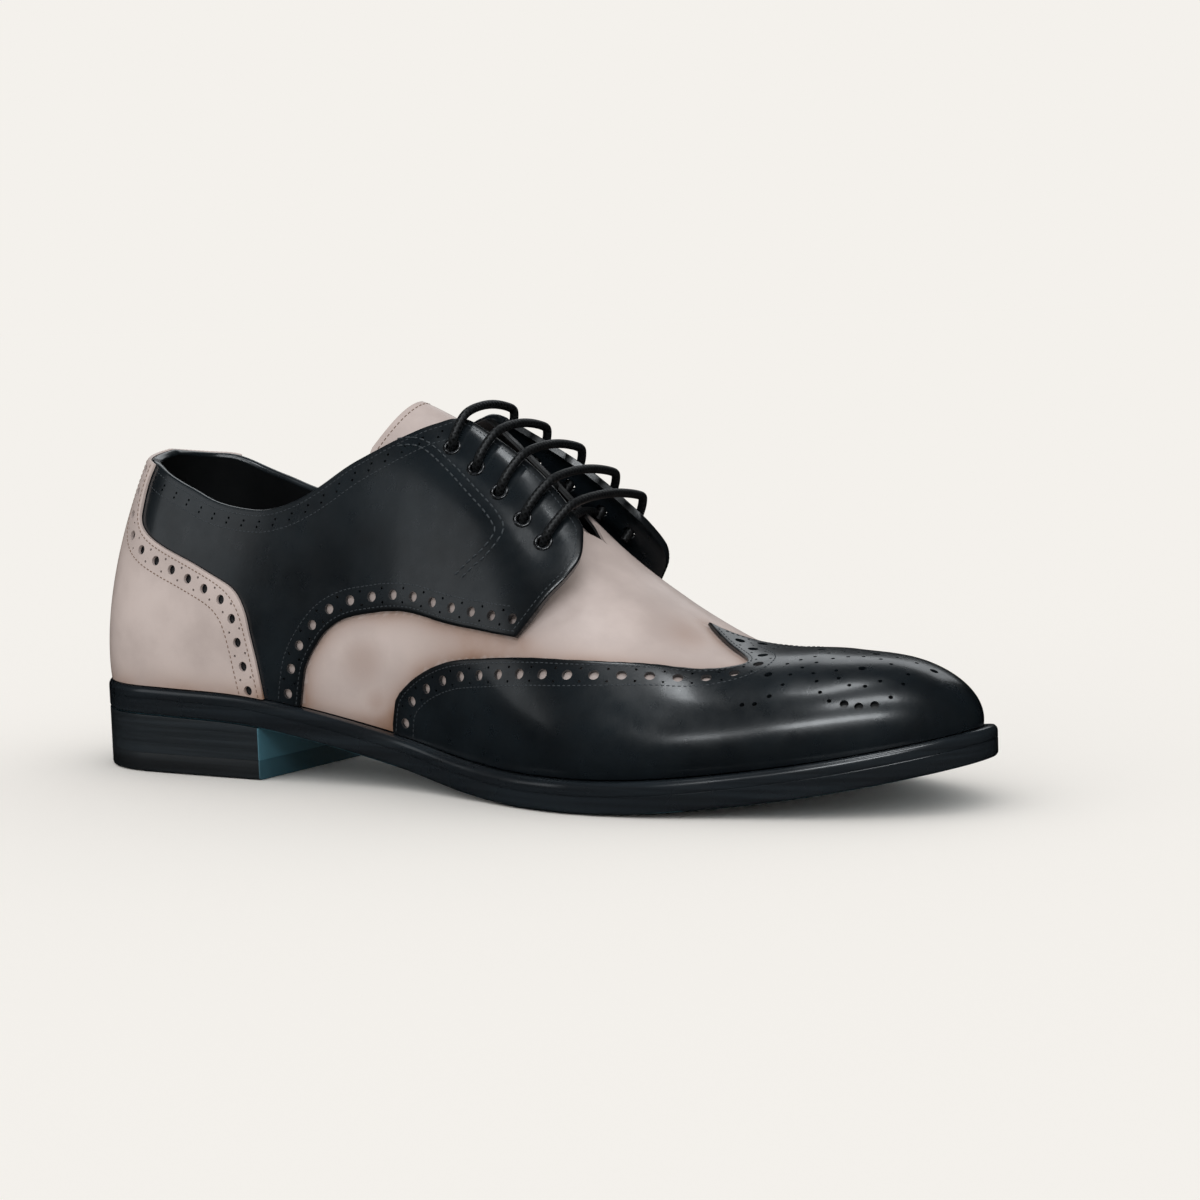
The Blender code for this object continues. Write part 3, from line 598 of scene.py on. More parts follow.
def beside(line, side, distance):
    """A line of steps and climbs moved over the last, to its left for a positive distance. Each short stride
    is square to the line, and is turned to a change of step and climb by the last's own slopes."""
    step, climb = (np.array(part, float) for part in line)
    strides = max(1, int(np.ceil(abs(distance) / (1.5 * MM))))
    small = 1e-3
    for _ in range(strides):
        here = np.clip(climb, 0.01, 1 - 2 * small)
        by_step = last_point(step + small, here, side) - last_point(step - small, here, side)
        by_climb = last_point(step, here + small, side) - last_point(step, here - small, side)
        by_step, by_climb = by_step / (2 * small), by_climb / (2 * small)
        along = np.gradient(step)[:, None] * by_step + np.gradient(climb)[:, None] * by_climb
        across = unit(np.cross(np.cross(by_step, by_climb), along)) * distance / strides
        ss, sc, cc = (np.einsum("ij,ij->i", a, b) for a, b in
                      ((by_step, by_step), (by_step, by_climb), (by_climb, by_climb)))
        sa, ca = np.einsum("ij,ij->i", by_step, across), np.einsum("ij,ij->i", by_climb, across)
        whole = ss * cc - sc * sc
        step = step + (sa * cc - ca * sc) / whole
        climb = climb + (ca * ss - sa * sc) / whole
    return step, climb


def clear_of(line, side, edge, distance, reach=9):
    """Drops a moved line's points that came nearer than the distance to any part of the edge."""
    step, climb = line
    keep = least_gap(place(step, climb, side, 0.0), edge) > abs(distance) * 0.96
    keep &= (climb < 1.0) & (climb > 0)
    return rounded(step[keep], climb[keep], side, reach)


def rounded(step, climb, side, reach=9):
    """A line made even and softened, so that a corner left by a moved line turns gently."""
    length = walked(place(step, climb, side, 0.0))
    at = np.linspace(0, length[-1], max(40, int(length[-1] / (0.5 * MM))))
    return softened(np.interp(at, length, step), reach), softened(np.interp(at, length, climb), reach)


def spaced(line, side, pitch, start, lifted=False):
    """Places a pitch apart along a line of steps and climbs, from a start distance on."""
    step, climb = line
    length = walked(place(step, climb, side, 0.0, lifted))
    at = np.arange(start, length[-1], pitch)
    return np.interp(at, length, step), np.interp(at, length, climb)


def beads(centre, out, pitch=STITCH, gauge=1.0):
    """Six-sided beads at the places of a row, each along the row and tapering into its two holes."""
    along = unit(np.gradient(centre, axis=0))
    across = np.cross(out, along)
    half = pitch * STITCH_REACH
    angle = around(6)
    spoke = np.cos(angle)[:, None, None] * across + np.sin(angle)[:, None, None] * out
    rings = [centre + along * half * run + spoke * THREAD / 2 * gauge * wide - out * sunk
             for run, wide, sunk in STITCH_RINGS]
    return np.stack(rings).transpose(2, 0, 1, 3).reshape(-1, 3)


def stitches(line, side, face, lifted=False, pitch=STITCH, gauge=1.0):
    """One row of stitches, a bead at every pitch along a line of steps and climbs."""
    step, climb = spaced(line, side, pitch, pitch / 2, lifted)
    if len(step) < 4:
        return np.zeros((0, 3))
    centre = place(step, climb, side, face - STITCH_SUNK, lifted)
    return beads(centre, facing_out(step, climb, side, lifted), pitch, gauge)


def sew(name, rows):
    """All rows of one thread as one mesh, each stitch four rings of six points with a cap at each end."""
    verts = np.concatenate(rows)
    count = len(verts) // 24
    base = np.arange(count)[:, None] * 24
    ring = np.arange(6)
    turned = np.roll(ring, -1)
    faces = [quads(low + ring, low + turned, low + 6 + turned, low + 6 + ring)
             for low in (base, base + 6, base + 12)]
    caps = ((0, (0, 3, 2, 1)), (0, (0, 5, 4, 3)), (18, (0, 1, 2, 3)), (18, (0, 3, 4, 5)))
    faces += [quads(*(base[:, 0] + row + k for k in order)) for row, order in caps]
    made = new_mesh(name, verts, outwards(verts, np.concatenate(faces)))
    made.data.shade_smooth()
    return made


def pegs(centre, out, radius, sides, depth=HOLE_DEPTH):
    """Round cutters: a ring of points below and above each centre, across its outward direction."""
    across = unit(np.cross(out, [0.2, 0.1, 1.0]))
    upward = np.cross(out, across)
    ring = spokes(around(sides), across, upward) * np.broadcast_to(radius, len(centre))[:, None, None]
    low = centre[:, None] + ring - out[:, None] * depth
    high = centre[:, None] + ring + out[:, None] * depth
    verts = np.stack([low, high], 1).reshape(-1, 3)
    faces = []
    for k in range(len(centre)):
        base = k * 2 * sides
        faces += [(base + i, base + (i + 1) % sides, base + sides + (i + 1) % sides, base + sides + i)
                  for i in range(sides)]
        faces.append(tuple(range(base + sides - 1, base - 1, -1)))
        faces.append(tuple(range(base + sides, base + 2 * sides)))
    return verts, faces


def holes(at, side, radius, sides, face=0.0, lifted=False, depth=HOLE_DEPTH):
    """Cutters at the places of a line of steps and climbs, square to the skin there."""
    return pegs(place(*at, side, face, lifted), facing_out(*at, side, lifted), radius, sides, depth)


def punched_row(row, side, start, pitch=HOLE_PITCH, face=0.0, lifted=False, deep=HOLE_DEPTH, fine=2.0 * MM):
    """The brogue row: round holes a pitch apart, and midway between them a pinhole on each side of it."""
    groups = [holes(spaced(row, side, pitch, start, lifted), side, HOLE_RADIUS, 20, face, lifted, deep)]
    between = spaced(row, side, pitch, start + pitch / 2, lifted)
    for spread in (-PINHOLE_SPREAD, PINHOLE_SPREAD):
        groups.append(holes(beside(between, side, spread), side, PINHOLE_RADIUS, 8, face, lifted, fine))
    return groups


def punch(piece, groups):
    """Cuts holes through a wall: all cutters as one mesh, and a Boolean difference."""
    verts, faces, total = [], [], 0
    for part_verts, part_faces in groups:
        faces += [tuple(i + total for i in face) for face in part_faces]
        verts.append(part_verts)
        total += len(part_verts)
    mesh = bpy.data.meshes.new("punches")
    mesh.from_pydata([tuple(map(float, v)) for v in np.concatenate(verts)], [], faces)
    cutter = bpy.data.objects.new("punches", mesh)
    bpy.context.scene.collection.objects.link(cutter)
    bm = bmesh.new()
    bm.from_mesh(mesh)
    bmesh.ops.recalc_face_normals(bm, faces=bm.faces)
    bm.to_mesh(mesh)
    bm.free()
    boolean = piece.modifiers.new("punch", "BOOLEAN")
    boolean.operation = "DIFFERENCE"
    boolean.solver = "MANIFOLD"
    boolean.object = cutter
    settle(piece)
    bpy.data.objects.remove(cutter, do_unlink=True)


def settle(piece):
    """Applies a piece's modifiers to its mesh."""
    graph = bpy.context.evaluated_depsgraph_get()
    mesh = bpy.data.meshes.new_from_object(piece.evaluated_get(graph))
    piece.modifiers.clear()
    piece.data = mesh


def soften(piece, angle=0.75):
    """Smooth shading, sharp only where two faces meet at more than the angle, in radians."""
    piece.data.shade_smooth()
    piece.data.set_sharp_from_angle(angle=angle)


def paint(piece, name, values):
    """Stores one number for each point of a mesh, for the material to read."""
    layer = piece.data.attributes.get(name) or piece.data.attributes.new(name, "FLOAT", "POINT")
    layer.data.foreach_set("value", np.asarray(values, np.float32))


def points_of(piece):
    """A mesh's points as rows of three numbers."""
    co = np.zeros(len(piece.data.vertices) * 3, np.float32)
    piece.data.vertices.foreach_get("co", co)
    return co.reshape(-1, 3).astype(float)


def finish_piece(piece, slot, look, *nodes):
    """Every piece rides on the one body, stands for its nodes and takes the given look. slot is not used."""
    piece.data.materials.clear()
    piece.data.materials.append(look)
    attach(piece, "root")
    if nodes:
        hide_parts(*nodes)
    return piece


# Materials


# Settings of a node that eases from one limit to the other, and of one that mixes colours. The second has the
# share as input 0, the colours as inputs 6 and 7 and the mixed colour as output 2.
EASED = {"interpolation_type": "SMOOTHSTEP"}
COLOURS = {"data_type": "RGBA"}


def linear(code):
    """An sRGB hex value as linear red, green and blue with full alpha."""
    parts = np.array([int(code[i:i + 2], 16) for i in (1, 3, 5)]) / 255
    low = parts / 12.92
    high = ((parts + 0.055) / 1.055) ** 2.4
    return (*np.where(parts <= 0.04045, low, high).tolist(), 1.0)


def add(tree, kind, inputs=None, **settings):
    """A node with its settings, and its inputs set to values or linked from sockets."""
    node = tree.nodes.new(kind)
    for key, value in settings.items():
        setattr(node, key, value)
    for key, value in (inputs or {}).items():
        if isinstance(value, bpy.types.NodeSocket):
            tree.links.new(value, node.inputs[key])
        else:
            node.inputs[key].default_value = value
    return node


def start_material(name):
    """A new material, its node tree, its shader and the piece's own coordinates."""
    made = bpy.data.materials.new(name)
    made.use_nodes = True
    tree = made.node_tree
    shader = tree.nodes["Principled BSDF"]
    coordinates = add(tree, "ShaderNodeTexCoord").outputs["Object"]
    return made, tree, shader, coordinates


def per(size):
    """A texture scale, in cells a metre, for a pattern of that size."""
    return 1.0 / size


def calf(name, main, deep, burnt, rough, coat, grain=0.55 * MM, relief=0.05, cloud=0.35):
    """Full-grain calf, aniline dyed by hand and waxed: rounded cells of grain and finer pores break the
    gloss, slow clouds turn one dye to the other, and a burnt tone is rubbed in where the piece is burnished.
    The grain is drawn at half a millimetre, coarser than real, so that it shows."""
    made, tree, shader, place_at = start_material(name)
    cells = add(tree, "ShaderNodeTexVoronoi", {"Vector": place_at, "Scale": per(grain)},
                feature="SMOOTH_F1")
    pores = add(tree, "ShaderNodeTexNoise", {"Vector": place_at, "Scale": per(0.25 * MM), "Detail": 3.0})
    ripple = add(tree, "ShaderNodeTexNoise", {"Vector": place_at, "Scale": per(5 * MM), "Detail": 5.0})
    clouds = add(tree, "ShaderNodeTexNoise", {"Vector": place_at, "Scale": per(26 * MM), "Detail": 5.0,
                                              "Roughness": 0.55})
    cloudy = add(tree, "ShaderNodeMapRange", {"Value": clouds.outputs["Fac"], "From Min": 0.5 - cloud,
                                              "From Max": 0.5 + cloud}, **EASED)
    shade = add(tree, "ShaderNodeMix", {0: cloudy.outputs["Result"], 6: linear(deep), 7: linear(main)},
                **COLOURS)
    worn = add(tree, "ShaderNodeAttribute", attribute_name="burnish")
    patchy = add(tree, "ShaderNodeMath", {0: worn.outputs["Fac"], 1: clouds.outputs["Fac"]},
                 operation="MULTIPLY")
    rubbed = add(tree, "ShaderNodeMapRange", {"Value": patchy.outputs[0], "From Min": 0.02,
                                              "From Max": 0.62}, **EASED)
    tinted = add(tree, "ShaderNodeMix", {0: rubbed.outputs["Result"], 6: shade.outputs[2],
                                         7: linear(burnt)}, **COLOURS)
    tree.links.new(tinted.outputs[2], shader.inputs["Base Color"])
    fine = add(tree, "ShaderNodeBump", {"Height": cells.outputs["Distance"], "Strength": relief,
                                        "Distance": 0.12 * MM})
    pored = add(tree, "ShaderNodeBump", {"Height": pores.outputs["Fac"], "Strength": relief * 0.8,
                                         "Distance": 0.10 * MM, "Normal": fine.outputs["Normal"]})
    waved = add(tree, "ShaderNodeBump", {"Height": ripple.outputs["Fac"], "Strength": 0.10,
                                         "Distance": 0.7 * MM, "Normal": pored.outputs["Normal"]})
    tree.links.new(waved.outputs["Normal"], shader.inputs["Normal"])
    gloss = add(tree, "ShaderNodeMapRange", {"Value": ripple.outputs["Fac"], "From Min": 0.3,
                                             "From Max": 0.7, "To Min": rough - 0.04,
                                             "To Max": rough + 0.05})
    tree.links.new(gloss.outputs["Result"], shader.inputs["Roughness"])
    shader.inputs["Coat Weight"].default_value = coat
    shader.inputs["Coat Roughness"].default_value = 0.16
    return made


def thread(name, colour, rough):
    """Waxed linen thread, spun from plies: dull, with a fine slanting twist."""
    made, tree, shader, place_at = start_material(name)
    # The node draws about six waves to a cell, so plies of half a millimetre take a cell of three
    plies = add(tree, "ShaderNodeTexWave", {"Vector": place_at, "Scale": per(3.0 * MM), "Distortion": 2.0})
    twist = add(tree, "ShaderNodeBump", {"Height": plies.outputs["Fac"], "Strength": 0.25,
                                         "Distance": 0.1 * MM})
    tree.links.new(twist.outputs["Normal"], shader.inputs["Normal"])
    shader.inputs["Base Color"].default_value = linear(colour)
    shader.inputs["Roughness"].default_value = rough
    return made


def waxed_lace():
    """Round cotton lace, braided and waxed: four strands wind each way and repeat every 1.5 mm, the higher of
    the two sine waves lies on top, and its colour is lighter on the crowns as painted sheen and darker in
    the grooves as painted shade."""
    made, tree, shader, _ = start_material("waxed_cotton_lace")
    run = add(tree, "ShaderNodeAttribute", attribute_name="run")
    spin = add(tree, "ShaderNodeAttribute", attribute_name="spin")
    parts = add(tree, "ShaderNodeSeparateXYZ", {"Vector": spin.outputs["Vector"]})
    turn = add(tree, "ShaderNodeMath", {0: parts.outputs["Y"], 1: parts.outputs["X"]},
               operation="ARCTAN2")
    walk = add(tree, "ShaderNodeMath", {0: run.outputs["Fac"], 1: 2 * np.pi / (1.5 * MM)},
               operation="MULTIPLY")
    waves = []
    for strands in (4.0, -4.0):
        slope = add(tree, "ShaderNodeMath", {0: turn.outputs[0], 1: strands}, operation="MULTIPLY")
        both = add(tree, "ShaderNodeMath", {0: slope.outputs[0], 1: walk.outputs[0]}, operation="ADD")
        waves.append(add(tree, "ShaderNodeMath", {0: both.outputs[0]}, operation="SINE"))
    braid = add(tree, "ShaderNodeMath", {0: waves[0].outputs[0], 1: waves[1].outputs[0]},
                operation="MAXIMUM").outputs[0]
    bump = add(tree, "ShaderNodeBump", {"Height": braid, "Strength": 0.5, "Distance": 0.12 * MM})
    tree.links.new(bump.outputs["Normal"], shader.inputs["Normal"])
    # Painted sheen and shade: lighter on the braid's crowns, darker in its grooves
    crown = add(tree, "ShaderNodeMapRange", {"Value": braid, "From Min": -0.2, "From Max": 1.0}, **EASED)
    tone = add(tree, "ShaderNodeMix", {0: crown.outputs["Result"], 6: linear("#060708"),
                                       7: linear("#14171a")}, **COLOURS)
    tree.links.new(tone.outputs[2], shader.inputs["Base Color"])
    shader.inputs["Roughness"].default_value = 0.48
    shader.inputs["Coat Weight"].default_value = 0.15
    shader.inputs["Coat Roughness"].default_value = 0.35
    return made


def edge_leather(name, main, deep, line_every, rough, coat, tint=None):
    """Sole leather's trimmed edge, stained, waxed and ironed hot: its layers and the iron's strokes are faint
    level lines, under an uneven half gloss. tint is the dye on the face that looks forward at the waist."""
    made, tree, shader, place_at = start_material(name)
    stretch = add(tree, "ShaderNodeMapping", {"Vector": place_at, "Scale": (12.0, 12.0, per(line_every))})
    marks = add(tree, "ShaderNodeTexNoise", {"Vector": stretch.outputs["Vector"], "Scale": 1.0,
                                             "Detail": 5.0, "Roughness": 0.6})
    clouds = add(tree, "ShaderNodeTexNoise", {"Vector": place_at, "Scale": per(14 * MM), "Detail": 4.0})
    lined = add(tree, "ShaderNodeMapRange", {"Value": marks.outputs["Fac"], "From Min": 0.35,
                                             "From Max": 0.65}, **EASED)
    tone = add(tree, "ShaderNodeMix", {0: lined.outputs["Result"], 6: linear(deep), 7: linear(main)},
               **COLOURS)
    if tint:
        parts = add(tree, "ShaderNodeSeparateXYZ", {"Vector": place_at})
        past = add(tree, "ShaderNodeMapRange", {"Value": parts.outputs["X"], "From Min": BREAST - 0.5 * MM,
                                                "From Max": BREAST - 0.3 * MM}, **EASED)
        tone = add(tree, "ShaderNodeMix", {0: past.outputs["Result"], 6: tone.outputs[2],
                                           7: linear(tint)}, **COLOURS)
    tree.links.new(tone.outputs[2], shader.inputs["Base Color"])
    lines = add(tree, "ShaderNodeBump", {"Height": marks.outputs["Fac"], "Strength": 0.06,
                                         "Distance": 0.08 * MM})
    waved = add(tree, "ShaderNodeBump", {"Height": clouds.outputs["Fac"], "Strength": 0.10,
                                         "Distance": 0.5 * MM, "Normal": lines.outputs["Normal"]})
    tree.links.new(waved.outputs["Normal"], shader.inputs["Normal"])
    gloss = add(tree, "ShaderNodeMapRange", {"Value": clouds.outputs["Fac"], "From Min": 0.3,
                                             "From Max": 0.7, "To Min": rough - 0.05,
                                             "To Max": rough + 0.06})
    tree.links.new(gloss.outputs["Result"], shader.inputs["Roughness"])
    shader.inputs["Coat Weight"].default_value = coat
    shader.inputs["Coat Roughness"].default_value = 0.18
    return made


def painted_bottom():
    """The outsole's underside: sole leather rubbed with a dark teal dye, which its fibres take unevenly, and
    scuffed to a dark grey where it stands."""
    made, tree, shader, place_at = start_material("teal_dyed_bottom")
    parts = add(tree, "ShaderNodeSeparateXYZ", {"Vector": place_at})
    fibres = add(tree, "ShaderNodeTexNoise", {"Vector": place_at, "Scale": per(5 * MM), "Detail": 6.0})
    dyed = add(tree, "ShaderNodeMix", {0: fibres.outputs["Fac"], 6: linear("#1c3c46"),
                                       7: linear("#2d5a68")}, **COLOURS)
    low = add(tree, "ShaderNodeMapRange", {"Value": parts.outputs["Z"], "From Min": 3.0 * MM,
                                           "From Max": 0.3 * MM}, **EASED)
    scuffed = add(tree, "ShaderNodeMix", {0: low.outputs["Result"], 6: dyed.outputs[2],
                                          7: linear("#1c2428")}, **COLOURS)
    tree.links.new(scuffed.outputs[2], shader.inputs["Base Color"])
    nap = add(tree, "ShaderNodeBump", {"Height": fibres.outputs["Fac"], "Strength": 0.15,
                                       "Distance": 0.3 * MM})
    tree.links.new(nap.outputs["Normal"], shader.inputs["Normal"])
    shader.inputs["Roughness"].default_value = 0.45
    return made


def enamelled_ring():
    """Brass rolled and stove enamelled black: a hard gloss, worn a little thin in spots."""
    made, tree, shader, place_at = start_material("black_enamelled_brass")
    wear = add(tree, "ShaderNodeTexNoise", {"Vector": place_at, "Scale": per(1.2 * MM), "Detail": 3.0})
    thin = add(tree, "ShaderNodeMapRange", {"Value": wear.outputs["Fac"], "From Min": 0.45,
                                            "From Max": 0.75}, **EASED)
    tone = add(tree, "ShaderNodeMix", {0: thin.outputs["Result"], 6: linear("#0b0c0e"),
                                       7: linear("#2a2d31")}, **COLOURS)
    tree.links.new(tone.outputs[2], shader.inputs["Base Color"])
    shader.inputs["Roughness"].default_value = 0.24
    shader.inputs["Coat Weight"].default_value = 0.4
    return made


def plain_floor():
    """White matt paper, with no shine of its own, so that it meets the room without a line."""
    made, _, shader, _ = start_material("pale_studio_floor")
    shader.inputs["Base Color"].default_value = linear("#ffffff")
    shader.inputs["Roughness"].default_value = 0.9
    shader.inputs["Specular IOR Level"].default_value = 0.0
    return made


LOOKS = {
    # Polished hard with wax: near black with a cold cast, and clear highlights
    "black": calf("black_aniline_calf", "#151c21", "#0b1014", "#080a0c", 0.30, 0.5, relief=0.10, cloud=0.25),
    # Creamed, not waxed: a soft half gloss, its cut edges and hollows burnt brown
    "pale": calf("pale_taupe_calf", "#b8aba7", "#a69995", "#80604c", 0.44, 0.12, relief=0.05, cloud=0.20),
    # Undressed lining and sock leather: dull, so that the inside of the shoe falls dark. The sock's
    # near-black colour is painted shade inside the shoe.
    "lining": calf("black_lining_calf", "#101214", "#0b0c0e", "#0a0b0c", 0.55, 0.0, relief=0.08),
    "sock": calf("sock_calf_painted_dark_as_shade", "#1b1c1e", "#121315", "#0d0e0f", 0.55, 0.0, relief=0.08),
    # Black linen thread, its colour lifted to grey as painted sheen on the stitches
    "black_thread": thread("black_linen_thread_with_painted_sheen", "#2f353a", 0.45),
    "brown_thread": thread("brown_linen_thread", "#6e5748", 0.6),
    "lace": waxed_lace(),
    # Ironed smoothest on the sole's edge, plainer on the stack, and left dull on the moulded rubber top lift
    "edge": edge_leather("black_waxed_sole_edge", "#1d2328", "#15191d", 2.4 * MM, 0.26, 0.5),
    "stack": edge_leather("black_waxed_heel_stack", "#242a2f", "#1b2024", 1.3 * MM, 0.36, 0.25, "#3f6673"),
    "lift": edge_leather("black_top_lift_rubber", "#1d2226", "#16191c", 2.5 * MM, 0.46, 0.10, "#2f505b"),
    "bottom": painted_bottom(),
    "ring": enamelled_ring(),
}


# Edge lines of the panels, as arrays of steps and climbs


def wing_edge(count=260):
    """The toe cap's edge from the feather edge to the ridge."""
    climb = np.linspace(0.0, 1.0, count)
    return read(WING_LINE, 1, climb), climb


def counter_edge(count=200):
    """The counter's edge from the feather edge to the rim."""
    climb = np.linspace(0.0, COUNTER_TOP, count)
    return read(COUNTER_LINE, 1, climb), climb


def lower_edge(share):
    """The quarter's lower edge: along the feather edge, then up and forward to the flap's corner."""
    share = np.asarray(share, float)
    flat = share < QUARTER_FOOT
    step = np.where(flat, share / QUARTER_FOOT * LOWER_EDGE[0][1], read(LOWER_EDGE, 1, share))
    climb = np.where(flat, 0.0, np.maximum(read(LOWER_EDGE, 2, share), 0.0))
    return step, climb


def upper_edge(share):
    """The quarter's upper edge: the collar's rim, then the facing's edge down to the flap's corner."""
    return read(UPPER_EDGE, 1, share), read(UPPER_EDGE, 2, share)


def front_edge(share):
    """The flap's front edge from its lower to its upper corner."""
    return read(FRONT_EDGE, 1, share), read(FRONT_EDGE, 2, share)


def edge_points(lines, sides=BOTH, lifted=False):
    """The panels' edge lines on the given sides as one array of points."""
    return np.concatenate([place(step, climb, side, 0.0, lifted) for step, climb in lines for side in sides])


def feather_edge(start, end):
    """The feather edge between two steps."""
    return np.linspace(start, end, 120), np.zeros(120)


def rim_at(step):
    """The climb at which the upper ends at a step: at the collar and throat, or at the ridge."""
    return np.minimum(read(RIM, 1, step), 1.0)


def ribs(sides, steps, shares):
    """Grids of step, climb and side: a rib at each of a row of steps, in shares of its climb to the rim."""
    steps = steps[:, None]
    return np.broadcast_arrays(steps, rim_at(steps) * shares, sides[:, None])


# The pieces


# The vamp starts at this step, under the quarters, and the lining ends at this one, under the toe cap
VAMP_FROM = 0.24
LINING_TO = 0.80

# The black underlay shows under the toe cap from this far in from the cap's edge, or less where it climbs to
# its tip. Under the flaps, back from one step and above one climb, the vamp is painted black as painted shade
UNDERLAY_CLEAR = 8.5 * MM
UNDERLAY_CLEAR_AT_TIP = 1.5 * MM
CAP_TIP_CLIMB = 0.84
PAINTED_SHADE_STEP = 0.547
PAINTED_SHADE_CLIMB = 0.45


def build_vamp():
    """The pale upper from the waist forward, under the quarters and the toe cap: ribs from feather to rim, up
    the outer side and back down the inner. It is burnished by a falling exponential of the distance to the
    toe cap's, the quarter's and the feather edge, and dyed black under the toe cap where only punched holes
    show it. Under the flaps it is painted black as painted shade, for the dark gap between the facings."""
    steps = even_steps(190, VAMP_FROM, 1.0)
    sides = np.repeat(BOTH, [len(steps), len(steps) - 1])
    step, climb, side = ribs(sides, np.concatenate([steps, steps[-2::-1]]), np.linspace(0, 1, 71))
    skin = place(step, climb, side, VAMP_FACE)
    gap_wing = least_gap(skin, edge_points([wing_edge()]))
    gap_quarter = least_gap(skin, edge_points([lower_edge(np.linspace(QUARTER_FOOT, 1, 160))]))
    feather = least_gap(skin, edge_points([feather_edge(0.3, 0.6)]))
    under_cap = step > read(WING_LINE, 1, climb)
    lower = np.array(LOWER_EDGE)
    under_quarter = climb > np.interp(step, lower[:, 1], lower[:, 2], left=-1.0, right=2.0)
    glow = rub(gap_wing, 0.9, 5 * MM) + rub(gap_quarter, 0.9, 4 * MM) + rub(feather, 0.7, 5 * MM)
    glow = np.clip(glow, 0, 1)
    glow *= 1 - under_cap * ease(gap_wing / (3 * MM))
    glow *= 1 - under_quarter * ease(gap_quarter / (3 * MM))
    clear = np.where(climb > CAP_TIP_CLIMB, UNDERLAY_CLEAR_AT_TIP, UNDERLAY_CLEAR)
    dyed = under_cap * ease((gap_wing - clear) / (1.0 * MM))
    # Painted shade: the vamp is painted black under the flaps, where the gap between the facings lies dark
    painted_shade_under_flaps = ease((PAINTED_SHADE_STEP - step) / 0.004) * ease((climb - PAINTED_SHADE_CLIMB) / 0.05)
    # dyed now holds the black underlay under the toe cap and the painted shade under the flaps
    dyed = np.maximum(dyed, painted_shade_under_flaps)
    for which, at_step, at_climb, wide in SMUDGES:
        at = place(np.array([at_step]), np.array([at_climb]), which, VAMP_FACE)[0]
        glow = np.maximum(glow, 0.55 * np.exp(-((skin - at) ** 2).sum(-1) / wide ** 2))
    piece = sheet("vamp", skin, burnish=glow, underlay=dyed)
    thick = piece.modifiers.new("wall", "SOLIDIFY")
    thick.thickness = VAMP_THICK
    thick.offset = -1.0
    settle(piece)
    soften(piece, 1.2)
    return finish_piece(piece, "pale_calf", LOOKS["vamp"], "upper")


def build_lining():
    """The black lining: the inner face of the whole upper, open at the collar and throat."""
    steps = even_steps(110, 0.0, LINING_TO)
    sides = np.repeat([1.0, -1.0], [len(steps), len(steps) - 1])
    step, climb, side = ribs(sides, np.concatenate([steps[::-1], steps[1:]]), np.linspace(0, 1, 37))
    outer = place(step, climb, side, LINING_FACE)
    inner = place(step, climb, side, LINING_FACE - LINING_THICK)
    piece = wall("collar_lining", outer, inner)
    soften(piece, 1.0)
    return finish_piece(piece, "black_calf", LOOKS["lining"])


# The roll of the top edge: the share of the quarter's upper edge it follows, its rise and how far it is sunk
ROLL_END = 0.86
ROLL_RISE = 0.95 * MM
ROLL_SUNK = 0.3 * MM


def build_topline():
    """The turned-over top edge: a half round from the quarter's face to the lining, along the rim. It swings
    outward by the cosine of a half turn and rises by its sine."""
    step, climb = upper_edge(np.linspace(0.0, ROLL_END, 150))
    chain_side = np.repeat([1.0, -1.0], [len(step), len(step) - 1])
    chain_step = np.concatenate([step[::-1], step[1:]])
    chain_climb = np.concatenate([climb[::-1], climb[1:]])
    turn = np.linspace(0, np.pi, 13)
    face = 0.02 * MM
    back = LINING_FACE - LINING_THICK - 0.05 * MM
    middle, half = (face + back) / 2, (face - back) / 2
    low = place(chain_step, chain_climb - 0.02, chain_side, middle, True)
    edge = place(chain_step, chain_climb, chain_side, middle, True)
    upward = unit(edge - low)
    outward = facing_out(chain_step, chain_climb - 0.01, chain_side, True)
    swing = np.cos(turn)[None, :, None] * outward[:, None] * half
    rise = (np.sin(turn)[None, :, None] * ROLL_RISE - ROLL_SUNK) * upward[:, None]
    outer = edge[:, None] + swing + rise
    inner = edge[:, None] + swing * 0.55 + rise * 0.4 - upward[:, None] * 0.25 * MM
    piece = wall("topline_roll", outer, inner)
    soften(piece, 1.2)
    return finish_piece(piece, "black_calf", LOOKS["black"])


def wing_holes():
    """The toe cap's punching: a row beside its edge, pinhole pairs between, and the ornament on the toe."""
    edge = edge_points([wing_edge()])
    groups = []
    for side in BOTH:
        row = clear_of(beside(wing_edge(), side, -HOLE_ROW), side, edge, HOLE_ROW)
        groups += punched_row(row, side, 3.6 * MM, fine=HOLE_DEPTH)
    return groups + [ornament()]


